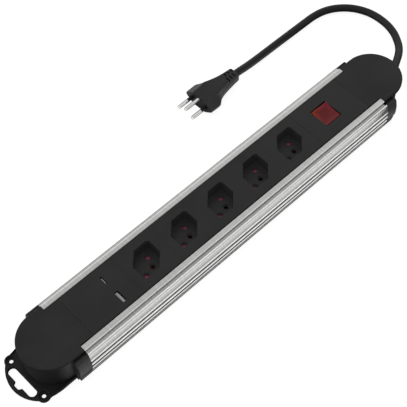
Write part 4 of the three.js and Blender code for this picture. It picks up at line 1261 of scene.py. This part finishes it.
# ------------------------------------------------------------------ pieces kept from the frame
KEPT = {
    "insulating_liner": "liner_plastic", "live_busbar": "stamped_brass",
    "neutral_busbar": "stamped_brass", "earth_busbar": "stamped_brass",
    "cord_clamp": "inner_plastic", "switch_housing": "inner_plastic", "switch_lamp": "neon_glass",
    "switch_contact_lever": "stamped_brass", "switch_line_terminal": "stamped_brass",
    "switch_load_terminal": "stamped_brass", "usb_circuit_board": "glass_fibre_board",
    "usb_transformer": "transformer_tape", "usb_capacitor": "capacitor_sleeve",
    **{"socket_shutter_%d" % i: "shutter_plastic" for i in range(1, 6)}}
for name, surface in KEPT.items():
    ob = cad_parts[name]
    ob.data.materials.clear()
    ob.data.materials.append(surfaces[surface].data)
    edge = ob.modifiers.new("edge", "BEVEL")
    edge.width = 0.12 * MM
    edge.segments = 1
    edge.limit_method = "ANGLE"
    edge.angle_limit = math.radians(40)

# ------------------------------------------------------------------ stage
# Reflected brightness of the floor ahead of the strip: 0 is y = -50 mm, 1 is y = -150 mm
FLOOR_FALL = [(0.0, 1.0), (0.06, 0.97), (0.11, 0.76), (0.20, 0.59), (0.30, 0.50), (0.45, 0.42),
              (1.0, 0.35)]


def floor_material():
    """Paper white with a faint contact shadow when seen directly. In reflections it falls off
    round the strip, as a table flagged from the lamps does, and brightens far out at -Y."""
    data = bpy.data.materials.new("pale_floor")
    data.use_nodes = True
    graph = Graph(data.node_tree)
    graph.tree.nodes.clear()
    rays = graph.node("LightPath").outputs
    place = graph.split(graph.node("NewGeometry").outputs["Position"])
    occlusion = graph.node("AmbientOcclusion", {"Distance": 0.018}, samples=12)
    contact_power = 1.9
    contact = graph.calc("POWER", occlusion.outputs["AO"], contact_power)
    ends = graph.remap(graph.calc("ABSOLUTE", place["X"]), span=(0.198, 0.224), to=(1.44, 0.10),
                       interpolation_type="SMOOTHSTEP")
    around = graph.calc("MULTIPLY", contact, ends)
    ahead = graph.remap(place["Y"], span=(-0.050, -0.150))
    spread = graph.calc("MULTIPLY", around, graph.ramp(ahead, FLOOR_FALL))
    horizon = graph.remap(place["Y"], span=(-0.25, -0.80), to=(0.0, 1.4))
    glossy = graph.calc("MAXIMUM", spread, horizon)
    diffuse = 0.36      # strength towards rays that are not glossy
    unseen = graph.node("Emission", {
        "Strength": graph.mix_value(rays["Is Glossy Ray"], diffuse, glossy)})
    paper = graph.node("BsdfDiffuse", {"Color": (0.45, 0.45, 0.45)})
    glow = graph.node("Emission", {"Strength": 0.86})
    seen = graph.node("AddShader", {0: paper.outputs[0], 1: glow.outputs[0]})
    mix = graph.node("MixShader", {0: rays["Is Camera Ray"], 1: unseen.outputs[0],
                                   2: seen.outputs[0]})
    graph.node("OutputMaterial", {"Surface": mix.outputs[0]})
    return data


FLOOR_HALF, FLOOR_Z = 6000, -0.2
floor = make([(-FLOOR_HALF, -FLOOR_HALF, FLOOR_Z), (FLOOR_HALF, -FLOOR_HALF, FLOOR_Z),
              (FLOOR_HALF, FLOOR_HALF, FLOOR_Z), (-FLOOR_HALF, FLOOR_HALF, FLOOR_Z)],
             [(0, 1, 2, 3)], "floor")
floor.data.materials.append(floor_material())

# A tent of soft light: bright low on the +Y side, a dark flag on the -Y side above the horizon,
# and a dimmer ceiling. Stops are (upward part of the direction, brightness).
SKY_PEAK = 1.2
SKY_MINUS_Y = [(0, 1.2), (0.13, 1.0), (0.27, 0.28), (0.5, 0.22), (0.8, 0.5), (1.0, 0.48)]
SKY_PLUS_Y = [(0, 1.15), (0.25, 1.05), (0.6, 0.68), (0.83, 0.62), (1.0, 0.48)]


def light_world():
    world = bpy.data.worlds.new("studio")
    scene.world = world
    world.use_nodes = True
    graph = Graph(world.node_tree)
    direction = graph.split(graph.node("TexCoord").outputs["Generated"])
    side = graph.remap(direction["Y"], span=(-0.25, 0.25), interpolation_type="SMOOTHSTEP")
    skies = [graph.ramp(direction["Z"], [(at, value / SKY_PEAK) for at, value in stops])
             for stops in (SKY_MINUS_Y, SKY_PLUS_Y)]
    background = graph.tree.nodes["Background"]
    graph.feed(background.inputs["Color"], graph.mix_color(side, *skies))
    background.inputs["Strength"].default_value = SKY_PEAK


def add_camera():
    """Camera above the -X, -Y side, looking down along +X and +Y."""
    data = bpy.data.cameras.new("camera")
    data.sensor_width = 36.0
    data.lens = 95.78
    data.clip_start = 0.01
    data.clip_end = 20
    camera = bpy.data.objects.new("camera", data)
    right = Vector((0.72019391, -0.69367243, -0.01180249))
    look = Vector((0.37870756, 0.40732696, -0.83106277))
    up = right.cross(look).normalized()
    place = (-0.38817, -0.39173, 0.85025)   # metres
    camera.matrix_world = Matrix([(right[i], up[i], -look[i], place[i]) for i in range(3)]
                                 + [(0, 0, 0, 1)])
    scene.collection.objects.link(camera)
    scene.camera = camera


light_world()
add_camera()
scene.view_settings.view_transform = "Standard"


bpy.context.view_layer.update()
